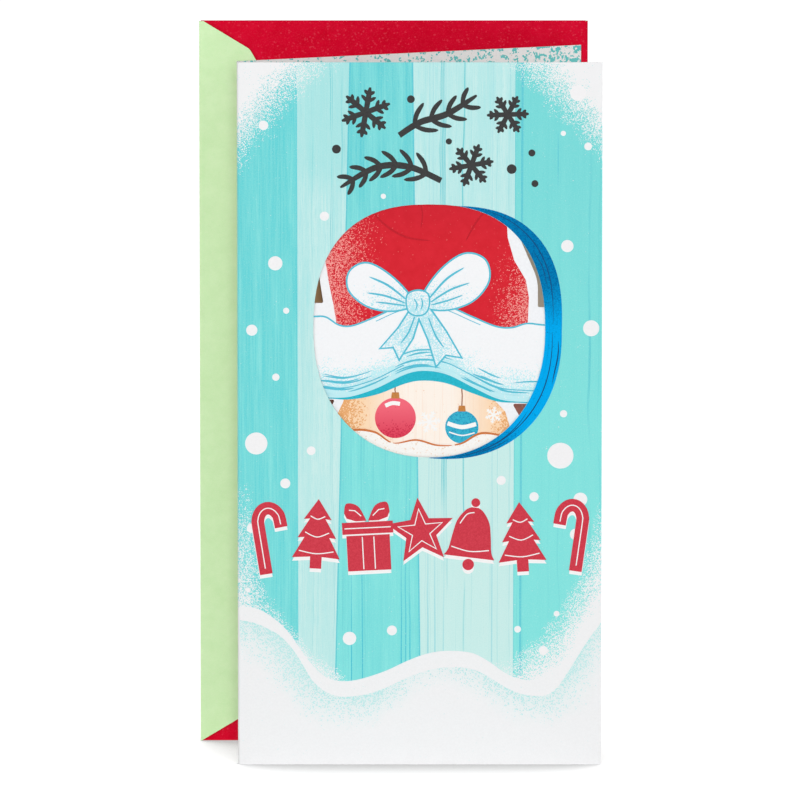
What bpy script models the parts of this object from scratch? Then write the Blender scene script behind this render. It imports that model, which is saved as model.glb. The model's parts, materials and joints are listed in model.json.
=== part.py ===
"""Money holder card standing ajar in front of its envelope.

The frame is in metres with +Z up. The cover faces -Y, the fold is on the left, and everything
stands on the plane Z = 0, with the origin in the middle of the footprint.
"""

import math

import bmesh
import bpy
from mathutils import Vector

MM = 0.001

# Sheets, glue and running clearances
BOARD_T = 0.36 * MM
LINER_T = 0.30 * MM
PAPER_T = 0.20 * MM
GLUE_T = 0.10 * MM
GLUE_GAP = 0.10 * MM
CLEARANCE = 0.30 * MM

# Card
CARD_W = 94.0 * MM
CARD_H = 184.2 * MM
AJAR = math.radians(18.6)
LEAF_SETBACK = 0.20 * MM

# Die-cut window in the cover, measured from the fold and from the lower edge
WINDOW_W = 59.9 * MM
WINDOW_H = 66.25 * MM
WINDOW_X = 49.35 * MM
WINDOW_Z = 114.05 * MM
WINDOW_POWER_TOP = 2.45
WINDOW_POWER_BASE = 2.15
WINDOW_STEPS = 72

# Insert behind the window: a band with one lobe above it and one below
BAND_REACH = 8.0 * MM
BAND_BELOW = 18.05 * MM
BAND_ABOVE = 7.25 * MM
BAND_DROP = 1.1 * MM
LOBE_UP_W = 55.4 * MM
LOBE_UP_SHIFT = 0.35 * MM
LOBE_UP_FLARE = 4.5 * MM
LOBE_UP_SHOULDER = 13.25 * MM
LOBE_UP_LEAN = 10.1 * MM
LOBE_DOWN_W = 45.8 * MM
LOBE_DOWN_SHIFT = -1.4 * MM
LOBE_DOWN_FLARE = 2.6 * MM
LOBE_DOWN_NECK = 4.6 * MM
LOBE_HIDE = 4.0 * MM
BAND_CORNER_R = 3.0 * MM
LOBE_CORNER_R = 4.0 * MM
LOBE_ROOT_R = 0.4 * MM
LOBE_SHOULDER_R = 12.0 * MM
INSERT_GLUE_W = 4.0 * MM
INSERT_GLUE_INSET = 1.5 * MM

# Banknote pocket on the back panel
POCKET_MARGIN = 8.0 * MM
POCKET_LOW = 6.0 * MM
POCKET_HIGH = 112.0 * MM
POCKET_CORNER_R = 4.0 * MM
NOTCH_R = 7.5 * MM
NOTCH_LIP_R = 2.0 * MM
POCKET_GLUE_W = 5.0 * MM
POCKET_GLUE_INSET = 1.5 * MM

# Envelope: its spare width and height beyond the card, and how far it shows left of the fold
ENV_SPARE_W = 7.0 * MM
ENV_SPARE_H = 6.3 * MM
ENV_PEEK = 10.4 * MM
ENV_CAVITY = 0.30 * MM
END_FLAP_W = 17.0 * MM
END_FLAP_MITRE = math.radians(20.0)
END_FLAP_CORNER_R = 3.0 * MM
END_FLAP_INSET = 2.5 * MM
THROAT_INSET = 7.0 * MM
THROAT_DIP = 4.0 * MM
THROAT_CORNER_R = 5.0 * MM
THROAT_DIP_LOW = 20.0 * MM
THROAT_DIP_RUN = 16.0 * MM
SEAM_GLUE_W = 6.0 * MM
PANEL_GAP = 0.10 * MM
FACE_SETBACK = 0.30 * MM

# Seal flap
FLAP_DEPTH = 24.0 * MM
FLAP_LAND = 0.5 * MM
FLAP_SHOULDER = 12.7 * MM
FLAP_SHOULDER_ANGLE = math.radians(31.0)
FLAP_TIP_ANGLE = math.radians(59.0)
FLAP_SHOULDER_R = 4.4 * MM
FLAP_TIP_R = 8.0 * MM
FLAP_END_GAP = 0.4 * MM
GUM_W = 9.0 * MM
GUM_INSET = 1.5 * MM
GUM_CLEARANCE = 0.20 * MM

# Steps of the round stretches
FILLET_STEPS = 6
ROLL_STEPS = 8

# What follows from the sizes above
GLUE_STACK = GLUE_GAP + GLUE_T + GLUE_GAP
LEAF_SPACE = GLUE_STACK + LINER_T + CLEARANCE + LINER_T + GLUE_STACK
LEAF_IN = LEAF_SPACE / 2
LEAF_OUT = LEAF_IN + BOARD_T
ENV_W = CARD_W + ENV_SPARE_W
ENV_H = CARD_H + ENV_SPARE_H
ENV_T = PAPER_T + ENV_CAVITY + PAPER_T + GLUE_STACK + PAPER_T
BACK_EDGE_DEPTH = CARD_W * math.sin(AJAR) + LEAF_OUT * math.cos(AJAR)
TOTAL_DEPTH = LEAF_OUT + BACK_EDGE_DEPTH + CLEARANCE + ENV_T
ENV_FOLD_X = -(ENV_PEEK + CARD_W) / 2
SPINE_X = ENV_FOLD_X + ENV_PEEK
SPINE_Y = LEAF_OUT - TOTAL_DEPTH / 2
ENV_FACE_Y = TOTAL_DEPTH / 2 - ENV_T
FLAP_REACH = ENV_T / 2 + GLUE_GAP + GLUE_T + GUM_CLEARANCE + PAPER_T / 2

WHITE_BOARD = (0.90, 0.90, 0.90)
SNOW_TEAL = (0.24, 0.72, 0.72)
UMBER = (0.24, 0.13, 0.11)
GIFT_RED = (0.72, 0.03, 0.05)
CLEAR_GLUE = (0.80, 0.78, 0.68)
ENVELOPE_RED = (0.56, 0.01, 0.03)
ENVELOPE_GREEN = (0.60, 0.80, 0.46)


def clear_scene():
    for obj in list(bpy.data.objects):
        bpy.data.objects.remove(obj, do_unlink=True)


def make_material(name, colour, roughness):
    material = bpy.data.materials.new(name)
    material.use_nodes = True
    shader = material.node_tree.nodes["Principled BSDF"]
    shader.inputs["Base Color"].default_value = (*colour, 1.0)
    shader.inputs["Roughness"].default_value = roughness
    shader.inputs["Metallic"].default_value = 0.0
    return material


def make_axis(name, place, turn=0.0, parent=None):
    """An empty on a joint's axis, or at a leaf's corner, that carries the pieces of one body."""
    axis = bpy.data.objects.new(name, None)
    axis.location = place
    axis.rotation_euler = (0.0, 0.0, turn)
    axis.parent = parent
    bpy.context.scene.collection.objects.link(axis)
    return axis


def arc(centre, radius, start, end, steps):
    """Points on an arc, both ends included."""
    points = []
    for i in range(steps + 1):
        angle = start + (end - start) * i / steps
        points.append((centre[0] + radius * math.cos(angle), centre[1] + radius * math.sin(angle)))
    return points


def filleted(corners):
    """A closed outline through (x, z, radius) corners, each rounded by its own radius."""
    outline = []
    count = len(corners)
    for i, (x, z, radius) in enumerate(corners):
        here = Vector((x, z))
        before = (Vector(corners[i - 1][:2]) - here).normalized()
        after = (Vector(corners[(i + 1) % count][:2]) - here).normalized()
        half = before.angle(after) / 2
        if radius == 0.0:
            outline.append((x, z))
            continue
        middle = here + (before + after).normalized() * radius / math.sin(half)
        first = here + before * radius / math.tan(half) - middle
        sweep = math.pi - 2 * half
        if before.x * after.y - before.y * after.x > 0:
            sweep = -sweep
        start = math.atan2(first.y, first.x)
        outline += arc(middle, radius, start, start + sweep, FILLET_STEPS)
    return outline


def superellipse(width, height, x, z, power_top, power_base, steps):
    """A rounded box that is squarer above its middle than below it."""
    points = []
    for i in range(steps):
        angle = 2 * math.pi * i / steps
        cosine, sine = math.cos(angle), math.sin(angle)
        power = power_top if sine > 0 else power_base
        across = math.copysign(abs(cosine) ** (2 / power), cosine)
        up = math.copysign(abs(sine) ** (2 / power), sine)
        points.append((x + across * width / 2, z + up * height / 2))
    return points


def close_up(mesh_builder, name, material, parent, smooth=False):
    """Turns a finished bmesh into an object under its body's axis."""
    bmesh.ops.recalc_face_normals(mesh_builder, faces=mesh_builder.faces)
    mesh = bpy.data.meshes.new(name)
    mesh_builder.to_mesh(mesh)
    mesh_builder.free()
    mesh.materials.append(material)
    if smooth:
        mesh.shade_smooth()
        mesh.set_sharp_from_angle(angle=math.radians(30.0))
    obj = bpy.data.objects.new(name, mesh)
    obj.parent = parent
    bpy.context.scene.collection.objects.link(obj)
    return obj


def extrude(points, shift):
    """A closed solid: one flat face through the points, carried along the shift."""
    builder = bmesh.new()
    face = builder.faces.new([builder.verts.new(point) for point in points])
    raised = bmesh.ops.extrude_face_region(builder, geom=[face], use_keep_orig=True)
    moved = [item for item in raised["geom"] if isinstance(item, bmesh.types.BMVert)]
    bmesh.ops.translate(builder, verts=moved, vec=shift)
    return builder


def extrude_outline(outline, depth_from, depth_to):
    """A flat sheet: an outline in X and Z, carried from one depth in Y to another."""
    points = [(x, depth_from, z) for x, z in outline]
    return extrude(points, (0.0, depth_to - depth_from, 0.0))


def extrude_section(section, low, high):
    """An upright strip: a cross-section in X and Y, carried from one height to another."""
    points = [(x, y, low) for x, y in section]
    return extrude(points, (0.0, 0.0, high - low))


def make_sheet(name, outline, depth_from, depth_to, material, parent):
    return close_up(extrude_outline(outline, depth_from, depth_to), name, material, parent)


def roll_edge(builder, direction, axis_point, axis_line, turn):
    """Carries the sheet's outermost straight edge along direction round a fold."""
    bmesh.ops.recalc_face_normals(builder, faces=builder.faces)
    facing = [face for face in builder.faces if face.normal.dot(direction) > 0.999]
    edge_face = max(facing, key=lambda face: face.calc_center_median().dot(direction))
    bmesh.ops.spin(
        builder,
        geom=[edge_face, *edge_face.edges, *edge_face.verts],
        cent=axis_point,
        axis=axis_line,
        angle=turn,
        steps=ROLL_STEPS,
        use_duplicate=False,
    )


def rectangle(left, right, low, high, radius=0.0):
    return filleted(
        [(left, low, radius), (right, low, radius), (right, high, radius), (left, high, radius)]
    )


def make_card_back(leaf, board, stock, glue):
    """The rear leaf with the crease and the banknote pocket on its inner side."""
    outline = rectangle(LEAF_SETBACK, CARD_W, 0.0, CARD_H)
    make_sheet("back_panel", outline, LEAF_IN, LEAF_OUT, board, leaf)
    make_crease(leaf, board)

    left = POCKET_MARGIN
    right = CARD_W - POCKET_MARGIN
    middle = CARD_W / 2
    bounds = filleted(
        [
            (left, POCKET_LOW, POCKET_CORNER_R),
            (right, POCKET_LOW, POCKET_CORNER_R),
            (right, POCKET_HIGH, 0.0),
            (left, POCKET_HIGH, 0.0),
        ]
    )
    reach = math.sqrt((NOTCH_R + NOTCH_LIP_R) ** 2 - NOTCH_LIP_R**2)
    meet = math.atan2(NOTCH_LIP_R, reach)
    lip_centre = (middle + reach, POCKET_HIGH - NOTCH_LIP_R)
    lip = arc(lip_centre, NOTCH_LIP_R, math.pi / 2, math.pi - meet, FILLET_STEPS)
    bowl = arc((middle, POCKET_HIGH), NOTCH_R, -meet, meet - math.pi, 3 * FILLET_STEPS)
    far_lip = [(2 * middle - x, z) for x, z in reversed(lip)]
    outline = bounds[:-1] + lip + bowl[1:-1] + far_lip + bounds[-1:]
    outer = LEAF_IN - GLUE_STACK
    make_sheet("money_pocket", outline, outer - LINER_T, outer, stock, leaf)

    glue_front = LEAF_IN - GLUE_GAP - GLUE_T
    glue_back = LEAF_IN - GLUE_GAP
    glue_left = left + POCKET_GLUE_INSET
    glue_right = right - POCKET_GLUE_INSET
    glue_low = POCKET_LOW + POCKET_GLUE_INSET
    side_low = glue_low + POCKET_GLUE_W + CLEARANCE
    side_high = POCKET_HIGH - POCKET_GLUE_INSET
    strips = {
        "pocket_glue_left": (glue_left, glue_left + POCKET_GLUE_W, side_low, side_high),
        "pocket_glue_right": (glue_right - POCKET_GLUE_W, glue_right, side_low, side_high),
        "pocket_glue_base": (
            glue_left + POCKET_CORNER_R,
            glue_right - POCKET_CORNER_R,
            glue_low,
            glue_low + POCKET_GLUE_W,
        ),
    }
    for name, sides in strips.items():
        make_sheet(name, rectangle(*sides), glue_front, glue_back, glue, leaf)


def make_crease(leaf, board):
    """The rolled crease: a C-shaped strip that both leaf edges clear as they turn round it."""
    outer = LEAF_IN - GLUE_GAP
    inner = outer - BOARD_T
    start = math.pi / 2
    end = 3 * math.pi / 2 - AJAR
    section = arc((0.0, 0.0), outer, start, end, 2 * ROLL_STEPS)
    section += arc((0.0, 0.0), inner, end, start, 2 * ROLL_STEPS)
    crease = extrude_section(section, 0.0, CARD_H)
    close_up(crease, "spine_crease", board, leaf, smooth=True)


def make_cover(axis, board, stock, glue):
    """The front leaf with its die-cut window, and the insert glued behind it."""
    outline = rectangle(LEAF_SETBACK, CARD_W, 0.0, CARD_H)
    cover = make_sheet("front_cover", outline, -LEAF_OUT, -LEAF_IN, board, axis)
    window = superellipse(
        WINDOW_W,
        WINDOW_H,
        WINDOW_X,
        WINDOW_Z,
        WINDOW_POWER_TOP,
        WINDOW_POWER_BASE,
        WINDOW_STEPS,
    )
    die_from = -LEAF_OUT - CLEARANCE
    die_to = -LEAF_IN + CLEARANCE
    die = make_sheet("window_die", window, die_from, die_to, board, axis)
    die.hide_render = True
    die.display_type = "WIRE"
    cut = cover.modifiers.new("window", "BOOLEAN")
    cut.operation = "DIFFERENCE"
    cut.object = die

    left = WINDOW_X - WINDOW_W / 2 - BAND_REACH
    right = WINDOW_X + WINDOW_W / 2 + BAND_REACH
    top = WINDOW_Z + WINDOW_H / 2 + LOBE_HIDE
    base = WINDOW_Z - WINDOW_H / 2 - LOBE_HIDE
    band_low = WINDOW_Z - BAND_BELOW
    band_high = WINDOW_Z + BAND_ABOVE
    up_left = WINDOW_X + LOBE_UP_SHIFT - LOBE_UP_W / 2
    up_right = up_left + LOBE_UP_W
    down_left = WINDOW_X + LOBE_DOWN_SHIFT - LOBE_DOWN_W / 2
    down_right = down_left + LOBE_DOWN_W
    neck = band_low - LOBE_DOWN_NECK
    flare_left = down_left - LOBE_DOWN_FLARE
    flare_right = down_right + LOBE_DOWN_FLARE
    outline = filleted(
        [
            (left, band_low, BAND_CORNER_R),
            (down_left, band_low, LOBE_ROOT_R),
            (flare_left, neck, LOBE_ROOT_R),
            (flare_left, base, LOBE_CORNER_R),
            (flare_right, base, LOBE_CORNER_R),
            (flare_right, neck - BAND_DROP, LOBE_ROOT_R),
            (down_right, band_low - BAND_DROP, LOBE_ROOT_R),
            (right, band_low - BAND_DROP, BAND_CORNER_R),
            (right, band_high - BAND_DROP, BAND_CORNER_R),
            (up_right, band_high - BAND_DROP, LOBE_ROOT_R),
            (up_right, WINDOW_Z + LOBE_UP_SHOULDER, LOBE_SHOULDER_R),
            (up_right - LOBE_UP_LEAN, top, LOBE_CORNER_R),
            (up_left - LOBE_UP_FLARE, top, LOBE_CORNER_R),
            (up_left, band_high, LOBE_ROOT_R),
            (left, band_high, BAND_CORNER_R),
        ]
    )
    front = -LEAF_IN + GLUE_STACK
    make_sheet("window_insert", outline, front, front + LINER_T, stock, axis)

    glue_low = band_low + BAND_CORNER_R
    glue_high = band_high - BAND_DROP - BAND_CORNER_R
    glue_front = -LEAF_IN + GLUE_GAP
    glue_left = left + INSERT_GLUE_INSET
    glue_right = right - INSERT_GLUE_INSET
    strips = {
        "insert_glue_left": (glue_left, glue_left + INSERT_GLUE_W),
        "insert_glue_right": (glue_right - INSERT_GLUE_W, glue_right),
    }
    for name, (start, end) in strips.items():
        sides = rectangle(start, end, glue_low, glue_high)
        make_sheet(name, sides, glue_front, glue_front + GLUE_T, glue, axis)


def make_envelope_body(place, paper, glue):
    """The folded blank without its seal flap; depth runs from the address face, 0, to ENV_T."""
    end_roll = (PAPER_T + ENV_CAVITY + PAPER_T) / 2
    side_roll = ENV_T / 2
    face_right = ENV_W - side_roll - PANEL_GAP
    face_low = end_roll + PANEL_GAP
    face_high = ENV_H - face_low
    outline = rectangle(FACE_SETBACK, face_right, face_low, face_high)
    make_sheet("envelope_face", outline, 0.0, PAPER_T, paper, place)

    throat = THROAT_INSET
    back_right = ENV_W - side_roll
    dip_end = THROAT_DIP_LOW + THROAT_DIP_RUN
    outline = filleted(
        [
            (throat, FLAP_END_GAP, THROAT_CORNER_R),
            (back_right, FLAP_END_GAP, 0.0),
            (back_right, ENV_H - FLAP_END_GAP, 0.0),
            (throat, ENV_H - FLAP_END_GAP, THROAT_CORNER_R),
            (throat, ENV_H - THROAT_DIP_LOW, THROAT_CORNER_R),
            (throat + THROAT_DIP, ENV_H - dip_end, THROAT_CORNER_R),
            (throat + THROAT_DIP, dip_end, THROAT_CORNER_R),
            (throat, THROAT_DIP_LOW, THROAT_CORNER_R),
        ]
    )
    builder = extrude_outline(outline, ENV_T - PAPER_T, ENV_T)
    side_axis = (back_right, side_roll, 0.0)
    roll_edge(builder, Vector((1, 0, 0)), side_axis, (0.0, 0.0, -1.0), math.pi)
    close_up(builder, "envelope_back", paper, place, smooth=True)

    inner_from = PAPER_T + ENV_CAVITY
    flap_left = END_FLAP_INSET
    flap_right = face_right - PANEL_GAP
    slope = END_FLAP_W * math.tan(END_FLAP_MITRE)
    lower = filleted(
        [
            (flap_left, end_roll, 0.0),
            (flap_right, end_roll, 0.0),
            (flap_right - slope, end_roll + END_FLAP_W, END_FLAP_CORNER_R),
            (flap_left + slope, end_roll + END_FLAP_W, END_FLAP_CORNER_R),
        ]
    )
    upper = [(x, ENV_H - z) for x, z in reversed(lower)]
    ends = {
        "lower": (lower, Vector((0, 0, -1)), end_roll, (-1.0, 0.0, 0.0)),
        "upper": (upper, Vector((0, 0, 1)), ENV_H - end_roll, (1.0, 0.0, 0.0)),
    }
    glue_from = inner_from + PAPER_T + GLUE_GAP
    for end, (outline, outward, roll_z, line) in ends.items():
        builder = extrude_outline(outline, inner_from, inner_from + PAPER_T)
        roll_edge(builder, outward, (0.0, end_roll, roll_z), line, math.pi)
        close_up(builder, f"envelope_end_flap_{end}", paper, place, smooth=True)
        middle = roll_z - outward.z * END_FLAP_W / 2
        sides = rectangle(
            throat + THROAT_DIP + slope,
            flap_right - slope,
            middle - SEAM_GLUE_W / 2,
            middle + SEAM_GLUE_W / 2,
        )
        make_sheet(f"seam_glue_{end}", sides, glue_from, glue_from + GLUE_T, glue, place)


def make_seal_flap(place, paper_outside, paper_inside, glue):
    """The crease strip and the flap, folded back on the address face with its inside showing."""
    crease_axis = make_axis("crease_axis", (PAPER_T / 2, ENV_T / 2, 0.0), parent=place)
    low = FLAP_END_GAP
    high = ENV_H - FLAP_END_GAP
    end_r = PAPER_T / 2
    section = arc((0.0, 0.0), end_r, 0.0, math.pi, ROLL_STEPS)
    section += arc((0.0, -FLAP_REACH), end_r, math.pi, 2 * math.pi, ROLL_STEPS)
    crease = extrude_section(section, low, high)
    close_up(crease, "flap_crease", paper_outside, crease_axis, smooth=True)

    flap_axis = make_axis("flap_axis", (0.0, -FLAP_REACH, 0.0), parent=crease_axis)
    near = end_r + PANEL_GAP
    shoulder_drop = (FLAP_SHOULDER - FLAP_LAND) * math.tan(FLAP_SHOULDER_ANGLE)
    tip_drop = shoulder_drop + (FLAP_DEPTH - FLAP_SHOULDER) * math.tan(FLAP_TIP_ANGLE)

    outline = filleted(
        [
            (near, low, 0.0),
            (FLAP_LAND, low, 0.0),
            (FLAP_SHOULDER, low + shoulder_drop, FLAP_SHOULDER_R),
            (FLAP_DEPTH, low + tip_drop, FLAP_TIP_R),
            (FLAP_DEPTH, high - tip_drop, FLAP_TIP_R),
            (FLAP_SHOULDER, high - shoulder_drop, FLAP_SHOULDER_R),
            (FLAP_LAND, high, 0.0),
            (near, high, 0.0),
        ]
    )
    make_sheet("seal_flap", outline, -PAPER_T / 2, PAPER_T / 2, paper_inside, flap_axis)

    gum_right = FLAP_DEPTH - GUM_INSET
    gum_left = gum_right - GUM_W
    gum_low = low + tip_drop + GUM_INSET
    gum_slant = GUM_W * math.tan(FLAP_TIP_ANGLE)
    gum_outline = filleted(
        [
            (gum_left, gum_low - gum_slant, 0.0),
            (gum_right, gum_low, FLAP_TIP_R),
            (gum_right, ENV_H - gum_low, FLAP_TIP_R),
            (gum_left, ENV_H - gum_low + gum_slant, 0.0),
        ]
    )
    gum_back = -PAPER_T / 2 - GLUE_GAP
    make_sheet("gum_strip", gum_outline, gum_back - GLUE_T, gum_back, glue, flap_axis)


def main():
    clear_scene()
    board = make_material("teal_board", SNOW_TEAL, 0.45)
    white_board = make_material("white_board", WHITE_BOARD, 0.55)
    insert_stock = make_material("gift_insert", GIFT_RED, 0.50)
    pocket_stock = make_material("umber_pocket", UMBER, 0.60)
    glue = make_material("clear_glue", CLEAR_GLUE, 0.35)
    red_paper = make_material("red_paper", ENVELOPE_RED, 0.60)
    green_paper = make_material("green_paper", ENVELOPE_GREEN, 0.65)

    spine = (SPINE_X, SPINE_Y, 0.0)
    back_leaf = make_axis("back_leaf", spine, AJAR)
    make_card_back(back_leaf, white_board, pocket_stock, glue)
    cover_axis = make_axis("cover_axis", spine)
    make_cover(cover_axis, board, insert_stock, glue)
    envelope = make_axis("envelope", (ENV_FOLD_X, ENV_FACE_Y, 0.0))
    make_envelope_body(envelope, red_paper, glue)
    make_seal_flap(envelope, red_paper, green_paper, glue)
    bpy.context.view_layer.update()


main()
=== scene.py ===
import json
import math
import random

import bmesh
import bpy
from mathutils import Matrix, Vector


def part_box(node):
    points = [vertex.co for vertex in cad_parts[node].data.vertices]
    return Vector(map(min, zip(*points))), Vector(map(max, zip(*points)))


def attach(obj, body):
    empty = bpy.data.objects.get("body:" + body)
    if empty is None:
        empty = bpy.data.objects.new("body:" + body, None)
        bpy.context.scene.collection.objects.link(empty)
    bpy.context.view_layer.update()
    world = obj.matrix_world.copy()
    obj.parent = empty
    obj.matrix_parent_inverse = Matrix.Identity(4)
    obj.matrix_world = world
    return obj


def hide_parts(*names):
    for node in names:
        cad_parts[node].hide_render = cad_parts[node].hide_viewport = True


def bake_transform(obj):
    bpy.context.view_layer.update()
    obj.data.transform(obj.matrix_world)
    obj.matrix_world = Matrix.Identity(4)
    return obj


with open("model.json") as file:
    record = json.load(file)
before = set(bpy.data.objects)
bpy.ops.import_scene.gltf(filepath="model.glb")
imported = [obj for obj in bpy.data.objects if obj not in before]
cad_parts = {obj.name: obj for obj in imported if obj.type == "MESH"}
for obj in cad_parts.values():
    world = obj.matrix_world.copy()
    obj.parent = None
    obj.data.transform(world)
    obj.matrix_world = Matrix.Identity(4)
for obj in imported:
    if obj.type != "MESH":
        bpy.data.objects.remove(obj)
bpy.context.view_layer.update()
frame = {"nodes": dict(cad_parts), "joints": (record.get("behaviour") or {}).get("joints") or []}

MM = 0.001

# Places that the solids give, in metres
COVER_LOW, COVER_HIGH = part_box("front_cover")
FLAP_LOW, FLAP_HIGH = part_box("seal_flap")
CREASE_LOW, CREASE_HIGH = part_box("flap_crease")
FACE_LOW, FACE_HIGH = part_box("envelope_face")
CREASE_X = (CREASE_LOW.x + CREASE_HIGH.x) / 2
SPINE_JOINT = next(joint for joint in frame["joints"] if joint["name"] == "cover_fold")
SPINE = Vector((SPINE_JOINT["pos_m"][0], SPINE_JOINT["pos_m"][1], 0.0))
AJAR = -math.radians(SPINE_JOINT["range_deg"][0])

# Card sizes in millimetres, measured from the fold and from the lower edge
CARD_W = 94.0
CARD_H = 184.2
LEAF_IN = 0.75
LEAF_OUT = 1.11
INSERT_FRONT = 0.45
POCKET_FRONT = 0.15
WINDOW = (49.35, 114.05, 59.9, 66.25)
WINDOW_POWER_TOP = 2.45
WINDOW_POWER_BASE = 2.15
PRINT_X0 = 0.22

# Thickness of one layer of ink, the lift between its shapes, and how deep it sits in the sheet
INK_STEP = 0.030
INK_LIFT = 0.0015
INK_SINK = 0.010
INK_LIFTS = 19

# The envelope in millimetres
ENV_W = 101.0
ENV_H = 190.5
ENV_T = 1.2
PAPER_T = 0.2
END_ROLL = 0.35
SIDE_ROLL = 0.6
END_FLAP = 17.0
END_MITRE = math.radians(20.0)
THROAT = 7.0
FLAP_DEPTH = 24.0
SHOULDER = 12.7
SHOULDER_SLOPE = math.tan(math.radians(31.0))
TIP_SLOPE = math.tan(math.radians(59.0))

COVER_FRAME = Matrix.Translation(SPINE)
BACK_FRAME = COVER_FRAME @ Matrix.Rotation(AJAR, 4, "Z")

WHITE_STOCK = (241, 241, 242)
BOW_WHITE = (245, 246, 248)
SEAM_TEAL = (80, 194, 212)

# Dyed paper: its dark and pale clouds and its specks
RED_PAPER = ((216, 0, 40), (228, 8, 52), (232, 66, 88))
LINING_PAPER = ((211, 245, 190), (221, 255, 200), (234, 253, 217))
FLAP_PAPER = ((211, 247, 189), (221, 253, 200), (234, 253, 217))
RED_DOTS = 0.055
LINING_DOTS = 0.05

# The bank of snow, its lower line, and the spray above and below it: place along x, height or share
SNOW_TOP = (
    (0, 41.8), (3, 41.6), (5.6, 40.8), (8.2, 39.2), (11.4, 36.6), (14.2, 33.1), (17.2, 28.7),
    (20.3, 24.9), (23.4, 22.7), (26.8, 22), (30.3, 22.3), (34.4, 23.4), (38.7, 25), (44, 27.5),
    (49, 29.3), (54, 30), (60.2, 29.5), (64.5, 27.4), (69.2, 24.1), (73, 22.6), (76.9, 22.2),
    (80, 23.1), (82.8, 24.9), (85.6, 28.6), (88.2, 33), (90.9, 37.4), (94, 41.5),
)
SNOW_UNDER = (
    (0, 38.1), (4, 37.4), (8, 35.6), (11.1, 33.6), (14.2, 30.1), (17, 25.6), (19.2, 22),
    (22.2, 19.4), (25.2, 18.1), (28.5, 17.9), (33, 18.5), (38, 20.2), (44, 23.1), (49.5, 24.9),
    (54, 25.7), (60, 25.3), (64.5, 23.3), (69.5, 20.2), (74.2, 18.4), (79.4, 18.2), (82.4, 20.1),
    (84.4, 22.9), (87, 27), (90, 31.9), (94, 37.6),
)
SPRAY_REACH = (
    (0, 38), (2.5, 36), (4.5, 30), (7, 9), (10, 6.5), (13, 4.5), (18, 3.8),
    (21, 6), (24, 5), (26, 4), (29, 0.6), (63, 0.6), (66, 2), (68, 3.2),
    (72, 9), (76, 11.8), (80, 15.5), (84, 18.5), (88, 21.5), (91, 25), (94, 31),
)
SPRAY_SHARE = (
    (0, 0.74), (2.5, 0.66), (4.5, 0.48), (7, 0.40), (10, 0.36), (13, 0.34), (16, 0.50),
    (21, 0.60), (26, 0.50), (29, 0), (64, 0), (66, 0.20), (68, 0.30), (72, 0.56),
    (76, 0.98), (94, 1),
)
UNDER_REACH = (
    (0, 11), (3, 12), (6, 14), (9, 15.5), (12, 18), (15, 17.5), (18, 13.5),
    (21, 11.5), (25, 10), (30, 9.5), (36, 9.5), (42, 8.5), (48, 6), (54, 5.5),
    (60, 8), (66, 9.5), (72, 9.8), (78, 9.2), (82, 10), (86, 13), (90, 16.5),
    (94, 17),
)
UNDER_SHARE = (
    (0, 0.70), (3, 0.74), (6, 0.86), (9, 1), (15, 1), (18, 0.9), (21, 0.68),
    (25, 0.62), (30, 0.72), (36, 0.84), (42, 0.54), (48, 0.32), (54, 0.36),
    (60, 0.52), (66, 0.62), (72, 0.66), (82, 0.62), (86, 0.86), (90, 0.84), (94, 0.64),
)


# Node trees


def linear(colour):
    """An sRGB colour in 0 to 255 as the linear colour that a shader takes."""
    shares = [value / 255 for value in colour]
    return (*(s / 12.92 if s <= 0.04045 else ((s + 0.055) / 1.055) ** 2.4 for s in shares), 1.0)


def shifted(colour, amount):
    return tuple(min(max(value + amount, 0), 255) for value in colour)


def math_method(operation, swapped=False):
    """A method of Term that adds a Math node."""

    def method(self, other=0.0):
        return self.nodes.calc(operation, *((other, self) if swapped else (self, other)))

    return method


class Term:
    """A number or colour in a node tree; arithmetic on it adds nodes."""

    __add__ = __radd__ = math_method("ADD")
    __mul__ = __rmul__ = math_method("MULTIPLY")
    __sub__ = math_method("SUBTRACT")
    __rsub__ = math_method("SUBTRACT", True)
    __truediv__ = math_method("DIVIDE")
    __pow__ = math_method("POWER")
    __abs__ = math_method("ABSOLUTE")
    __gt__ = math_method("GREATER_THAN")
    __lt__ = math_method("LESS_THAN")
    at_least = math_method("MAXIMUM")

    def __init__(self, nodes, socket):
        self.nodes = nodes
        self.socket = socket

    def clamped(self):
        self.socket.node.use_clamp = True
        return self

    def ramp(self, start, end, low=0.0, high=1.0, **settings):
        """Runs from low to high while the term runs from start to end."""
        inputs = {"Value": self, "From Min": start, "From Max": end, "To Min": low, "To Max": high}
        return self.nodes.add("ShaderNodeMapRange", inputs, **settings)

    def line(self, half_width, soft=0.06):
        """1 within half a width of where the term is zero."""
        return abs(self).ramp(half_width, half_width + soft, 1.0, 0.0)


class Nodes:
    """A node tree in short calls."""

    def __init__(self, tree):
        self.tree = tree

    def feed(self, socket, value):
        if isinstance(value, Term):
            self.tree.links.new(value.socket, socket)
        else:
            socket.default_value = value

    def add(self, kind, inputs, output=0, **settings):
        """The output of a new node, with its inputs by name or number."""
        made = self.tree.nodes.new(kind)
        for name, value in settings.items():
            setattr(made, name, value)
        for name, value in inputs.items():
            self.feed(made.inputs[name], value)
        return Term(self, made.outputs[output])

    def calc(self, operation, *values):
        return self.add("ShaderNodeMath", dict(enumerate(values)), operation=operation)

    def grey(self, value):
        return self.add("ShaderNodeCombineColor", {0: value, 1: value, 2: value})

    def seen(self, hidden, shown):
        """shown for the rays that show the background, those of camera, gloss and glass, else hidden."""
        rays = ("Camera", "Glossy", "Transmission")
        camera, gloss, glass = (self.add("ShaderNodeLightPath", {}, f"Is {ray} Ray") for ray in rays)
        return camera.at_least(gloss).at_least(glass).ramp(0.0, 1.0, hidden, shown)


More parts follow.
